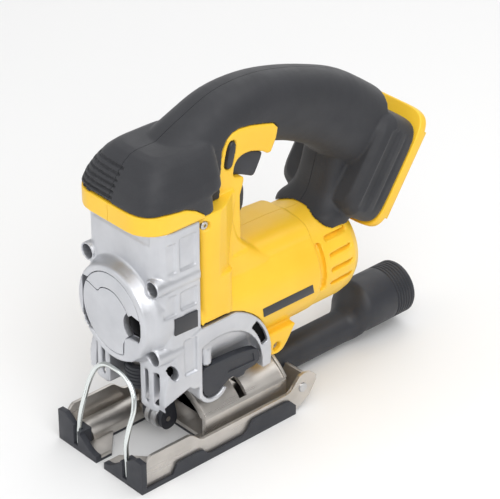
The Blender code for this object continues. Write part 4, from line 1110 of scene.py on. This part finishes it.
def makeShoeCover():
    s = shoe
    rear, front, half = s["flatRear"] + 2, s["front"], s["half"]
    cover = asObject("shoeCover", block((rear, -half, 0), (front, half, s["sole"])))
    steps = []
    tabs = [
        (rear, 0.2), (front - 1, 0.2), (front - 1, 2.6), (44.6, 2.6), (43.2, 5), (41.4, 8.4), (39.4, 9.2),
        (24, 9.2), (21, 8.4), (18.4, 5.2), (16, 4.2), (-9.5, 4.2), (-12, 5.6), (-15.8, 10.8), (-18.5, 11.8),
        (-43, 11.8), (-46.5, 10.6), (rear, 6.4),
    ]
    wall = [
        (2.6, 0.3), (half, 0.3), (half, 20.5), (31.5, 21), (27.5, 18.6), (9.4, 5.4), (6, 4.4), (2.6, 4.4),
    ]
    for sign in (-1, 1):
        add(steps, slab("Y", tabs, *sided(sign, half - 1.5, half)))
        add(steps, slab("X", [(sign * y, z) for y, z in wall], front - 3.7, front))
        y = s["wireY"] * sign
        add(steps, block((58.6, y - 3.9, 0.4), (front - 0.2, y + 3.9, 13.4)))
    cut(steps, bladeOpening(-5, 60))
    for sign in (-1, 1):
        y = s["wireY"] * sign
        room = s["wireRadius"] + 0.3
        cut(steps, block((front - 2.6 - room, y - room, 3), (90, y + room, 60)))
    carve(cover, steps)
    fit(roundEdges(cover, 0.5), "shoe", "black_nylon", "shoe_cover")
    print("shoe cover made")


def makeCradle():
    s = shoe
    outer, wall, half = s["cradleRadius"], s["cradleWall"], s["cradleHalf"]
    rear, front = s["cradleRear"], s["cradleFront"]
    inner, halfIn, floor = outer - wall, half - wall, s["sole"] + 0.3 + s["plate"] + 0.3
    a, b = math.degrees(math.acos(half / outer)), math.degrees(math.acos(halfIn / inner))
    arch = [(half, floor)] + arcPoints(0, 0, outer, a, 180 - a, 60) + [(-half, floor)]
    arch += [(-halfIn, floor)] + arcPoints(0, 0, inner, 180 - b, b, 60) + [(halfIn, floor)]
    cradle = asObject("shoeCradle", slab("X", arch, rear, front))
    rim = arcPoints(0, 0, outer + 1.5, a + 2, 178 - a, 60) + arcPoints(0, 0, inner - 1, 178 - b, b + 2, 60)
    reach = math.radians(50.4)
    across, up = wide * math.sin(reach), wide * math.cos(reach)
    wedge = [(0, 0), (across, up), (0, wide), (-across, up)]  # the slot the bevel bolt runs in
    carve(cradle, [
        ("join", slab("X", rim, front - 1.9, front)),
        ("join", slab("X", rim, rear, rear + 1.7)),
        ("cut", slab("X", wedge, *s["cradleSlot"])),
    ])
    fit(roundEdges(cradle, 0.4), "shoe", "steel", "shoe_cradle")
    print("cradle made")


def makeFingerGuard():
    s = shoe
    x, y = s["front"] - 2.6, s["wireY"]
    half = [
        (x, y, 3.6), (x, y - 0.6, 14), (x - 0.6, y - 1.6, 24), (61.4, 20, 34), (57.6, 19.8, 44),
        (55, 16.4, 53.4), (54.1, 9, 59.4),
    ]
    points = half + [(54, 0, 60.7)] + [(a, -b, c) for a, b, c in reversed(half)]
    curve = bpy.data.curves.new("fingerGuard", "CURVE")
    curve.dimensions = "3D"
    curve.bevel_depth = s["wireRadius"] * mm
    curve.bevel_resolution = 6
    curve.use_fill_caps = True
    route = blended(points, 10)
    line = curve.splines.new("POLY")
    line.points.add(len(route) - 1)
    for spot, place in zip(line.points, route):
        spot.co = (*[c * mm for c in place], 1)
    wire = placed("fingerGuard", curve)
    bpy.context.view_layer.update()
    mesh = bpy.data.meshes.new_from_object(wire.evaluated_get(bpy.context.evaluated_depsgraph_get()))
    bpy.data.objects.remove(wire)
    solid = placed("fingerGuard", mesh)
    fit(shade(solid, 60), "shoe", "zinc_wire", "finger_guard")
    print("finger guard made")


dustTube = {
    "pipe": (10.3, 8.6),  # outer and inner radius
    "port": (17.1, 15.2),
    "heights": (12.6, 22.1),  # of the pipe's and the port's middles
    "grooves": 6,
    "groovePitch": 2.2,
}


def makeDustTube():
    t = dustTube
    (pipe, bore), (portR, mouth), (z, portZ) = t["pipe"], t["port"], t["heights"]
    outer = [
        (-43, z, pipe), (-121, z, pipe), (-124.6, z + 0.8, pipe + 0.9), (-127.6, z + 3.2, pipe + 2.8),
        (-130.2, z + 6.4, pipe + 5), (-132.6, portZ - 0.8, portR - 0.9), (-134.6, portZ, portR - 0.2),
        (-136, portZ, portR), (-156, portZ, portR),
    ]
    groove = ((0.2, 0), (0.5, 0.55), (1.3, 0.55), (1.6, 0))
    pitch = t["groovePitch"]
    outer += [(-156 - pitch * i - d, portZ, portR - e) for i in range(t["grooves"]) for d, e in groove]
    outer += [(-170.4, portZ, portR), (-171.5, portZ, portR - 0.7)]
    inner = [
        (-42, z, bore), (-123, z, bore), (-130, z + 5, bore + 2.4), (-137, portZ, mouth - 0.4),
        (-172.5, portZ, mouth),
    ]
    skin, hollow = [
        [((x, 0, h), (0, 1, 0), (0, 0, 1), r, r, 2) for x, h, r in rings] for rings in (outer, inner)
    ]
    tube = carve(asObject("dustTube", lofted(skin, 72)), [("cut", lofted(hollow, 72))])
    fit(roundEdges(tube, 0.25, 2, 40), "shoe", "black_nylon", "dust_tube")
    ring = [(-48, pipe - 0.2), (-48, pipe + 0.9), (-45.4, pipe + 0.9), (-44.8, pipe - 0.2)]
    collar = asObject("dustTubeCollar", turned("X", (0, 0, z), ring, 64))
    fit(shade(collar), "shoe", "black_nylon")
    print("dust tube made")


makeShoePlate()
makeShoeCover()
makeCradle()
makeFingerGuard()
makeDustTube()

# Controls

controls = {
    "leverSpan": (27.2, 32),  # how far out the bevel lever's two faces are
    "triggerHalf": 15.3,
    "triggerGrooves": 3,
    "buttonHalf": 20.3,
    "stopHalf": 9.5,
    "bossPlace": (-24, 0, 153),
    "bossSpan": (9, 13.5),
}


def makeBevelLever():
    tip = smoothLine(
        [
            (16.6, 57.4), (17, 46.4), (14.6, 40.6), (9.4, 38.2), (4, 39.6), (-0.6, 42.6), (-6, 44.2),
            (-9, 42), (-14, 41.8), (-16, 44), (-22, 44.4), (-25.4, 46.2), (-26.6, 50.6), (-24, 55.2),
            (-14, 57.6), (0, 58.8), (14.8, 59.2),
        ],
        3,
    )
    lever = asObject("bevelLever", slab("Y", tip, *controls["leverSpan"]))
    pinX, pinY = middleOf("bevel_lever_pin")[:2]
    carve(lever, [
        ("cut", slab("Y", [(-22.5, 48), (-2, 48.6), (-4, 54.6), (-21.5, 53.4)], 31.2, 40)),
        ("cut", rod("Z", (pinX, pinY, 0), 1.75, 20, 80, 24)),
    ])
    fit(roundEdges(lever, 0.8), "bevel_lever", "black_nylon", "bevel_lever")


def makeTrigger():
    c = controls
    outline = smoothLine(
        [
            (-19.8, 165), (-19.2, 170), (-25.5, 174.2), (-34, 173.2), (-42.2, 170), (-42.8, 167.4),
            (-40.4, 162.4), (-36.8, 157), (-32.5, 158.4), (-27.6, 160.7), (-22.6, 162.6),
        ],
        3,
    )
    trigger = asObject("trigger", slab("Y", outline, -c["triggerHalf"], c["triggerHalf"]))
    places = [(-44.4 + 2.1 * i, 0, 164 - 3.2 * i) for i in range(c["triggerGrooves"])]
    carve(trigger, [("cut", rod("Y", place, 0.7, -20, 20, 16)) for place in places])
    fit(roundEdges(trigger, 1.1), "trigger", "black_nylon", "trigger")
    end = c["buttonHalf"]
    ends = [(-end, 1.2), (0.3 - end, 0.5), (1.1 - end, 0), (end - 1.1, 0), (end - 0.3, 0.5), (end, 1.2)]
    bolt = asObject("lockOffButton", lofted([lockStation(y, 8 - e, 2.7 - e * 0.8) for y, e in ends], 40))
    fit(shade(bolt), "lock_button", "black_nylon", "lock_off_button")
    bump = smoothLine([(-25, 157), (-29.4, 156), (-33.6, 150.8), (-34.8, 144), (-33, 134), (-24.8, 132)], 3)
    stop = asObject("triggerStop", slab("Y", bump, -c["stopHalf"], c["stopHalf"]))
    fit(roundEdges(stop, 0.8), "tool", "black_nylon")
    for word, sign in (("Left", 1), ("Right", -1)):
        pad = rod("Y", c["bossPlace"], 4.4, *sided(sign, *c["bossSpan"]), 40, edge=0.6)
        pad = asObject("panelBoss" + word, pad)
        fit(shade(pad), "tool", "yellow_plastic")
    print("controls made")


makeBevelLever()
makeTrigger()

# Battery foot's plate and terminals

battery = {
    "rail": (23, 28),  # how far out from the middle
    "lip": (19.5, 23.5),
    "contacts": (-8, 0, 8),
}


def makeBatteryPlate():
    plate = asObject(
        "batteryPlate", footSlab([(0.3, 37.4, 32.4), (0.9, 38, 33), (5.7, 38, 33), (6.3, 37.4, 32.4)], -3)
    )
    steps = []
    for sign in (-1, 1):
        add(steps, footBlock(5.3, 13.3, -30, 26, *sided(sign, *battery["rail"])))
        add(steps, footBlock(10.3, 13.3, -30, 26, *sided(sign, *battery["lip"])))
        cut(steps, footBlock(4.9, 9, 29.4, 33, *sided(sign, 8, 20)))
    add(steps, footBlock(6, 8.2, -33.5, -31.5, -17, 17))
    cut(steps, footBlock(-20, 40, -14, 16, -13, 13))
    carve(plate, steps)
    fit(roundEdges(plate, 0.5), "tool", "yellow_plastic", "battery_plate")
    terminal = asObject("terminalBlock", footBlock(-6, 9, -13.5, 15.5, -12.5, 12.5))
    carve(terminal, [("cut", footBlock(3, 12, -10, 18, y - 1.5, y + 1.5)) for y in battery["contacts"]])
    fit(roundEdges(terminal, 0.35), "tool", "black_nylon", "terminal_block")
    for i, y in enumerate(battery["contacts"]):
        blade = asObject(f"contactBlade{i + 1}", footBlock(2.8, 7.6, -8, 14, y - 0.45, y + 0.45, 0.2))
        fit(shade(blade), "tool", "bronze")
    print("battery plate made")


makeBatteryPlate()

# Blade clamp, guide and selector

bladeEnd = {
    "clampLow": 43.5,
    "clampHigh": 58.5,
    "clampRibs": 5,
    "rollerPlace": (23, 0, 16),
    "forkPin": (22.6, 0, 54),
    "knobFace": -33.3,
    "knobFlutes": 12,
}


def makeBladeEnd():
    b = bladeEnd
    low, high = b["clampLow"], b["clampHigh"]
    profile = [(low, 4.6), (low, 7.4), (low + 0.8, 8.3)]
    for i in range(b["clampRibs"]):
        z = low + 2 + 2.3 * i
        profile += [(z, 9), (z + 1.3, 9), (z + 1.6, 8.5), (z + 2, 8.5)]
    profile += [(high - 0.6, 8.6), (high, 7.8), (high, 4.8)]
    clamp = asObject("bladeClamp", turned("Z", (plungerX, 0, 0), profile, 64))
    fit(shade(clamp), "plunger", "black_nylon", "blade_clamp")
    outline = smoothLine(
        [
            (19.5, 58.5), (25.3, 58.6), (25.4, 46), (25.4, 27), (28.4, 19), (27.3, 11.8), (23.4, 9.2),
            (18.2, 10.8), (16.6, 16), (18.4, 28), (19.2, 46),
        ],
        3,
    )
    fork = asObject("guideFork", slab("Y", outline, -8.4, 8.4))
    carve(fork, [
        ("cut", block((5, -5.2, -5), (45, 5.2, 24.7))),
        ("cut", rod("Y", b["forkPin"], 2.25, -20, 20, 24)),
        ("cut", rod("Y", b["rollerPlace"], 1.75, -20, 20, 24)),
        ("cut", block((21, -12, 29), (23.6, 12, 45))),
    ])
    fit(roundEdges(fork, 0.6), "fork", "black_nylon", "guide_fork")
    wheel = [(-4.8, 1.85), (-4.8, 6.9), (-4.3, 7.5), (-1.1, 7.5), (-0.8, 6)]
    wheel += [(-at, r) for at, r in reversed(wheel)]
    roller = asObject("guideRoller", turned("Y", b["rollerPlace"], wheel, 64))
    fit(shade(roller), "roller", "steel", "guide_roller", finish=brightSteel)
    face, place, flutes = b["knobFace"], gearCase["selectorPlace"], b["knobFlutes"]
    stem = [(face - 4.4, 0), (face - 4.4, 6), (face - 3.6, 7.2), (face, 8.2), (face, 3), (-18, 3), (-18, 0)]
    knob = asObject("orbitSelector", turned("Y", place, stem, 48))
    steps = [("cut", block((31.6, face - 6, 60), (34.4, face - 3.6, 68)))]
    for i in range(flutes):
        angle = tau * i / flutes
        spot = (place[0] + 8.6 * math.cos(angle), 0, place[2] + 8.6 * math.sin(angle))
        cut(steps, rod("Y", spot, 1.1, face - 6, face - 0.6, 12))
    carve(knob, steps)
    fit(roundEdges(knob, 0.3, 2, 40), "selector", "black_nylon", "orbit_selector")
    print("blade end made")


makeBladeEnd()

# What stays as the frame has it

def dressFrame():
    wear = {"rotor": copper}  # pieces whose look isn't their slot's
    wear.update((node, bronze) for node in ("brush_left", "brush_right", "upper_bush", "lower_bush"))
    for part in frame["record"]["subparts"]:
        node = frame["nodes"][part["node"]]
        node.data.materials.clear()
        node.data.materials.append(wear.get(part["node"], slotFinish[part["material_slot"]]))
    print("frame dressed")


dressFrame()
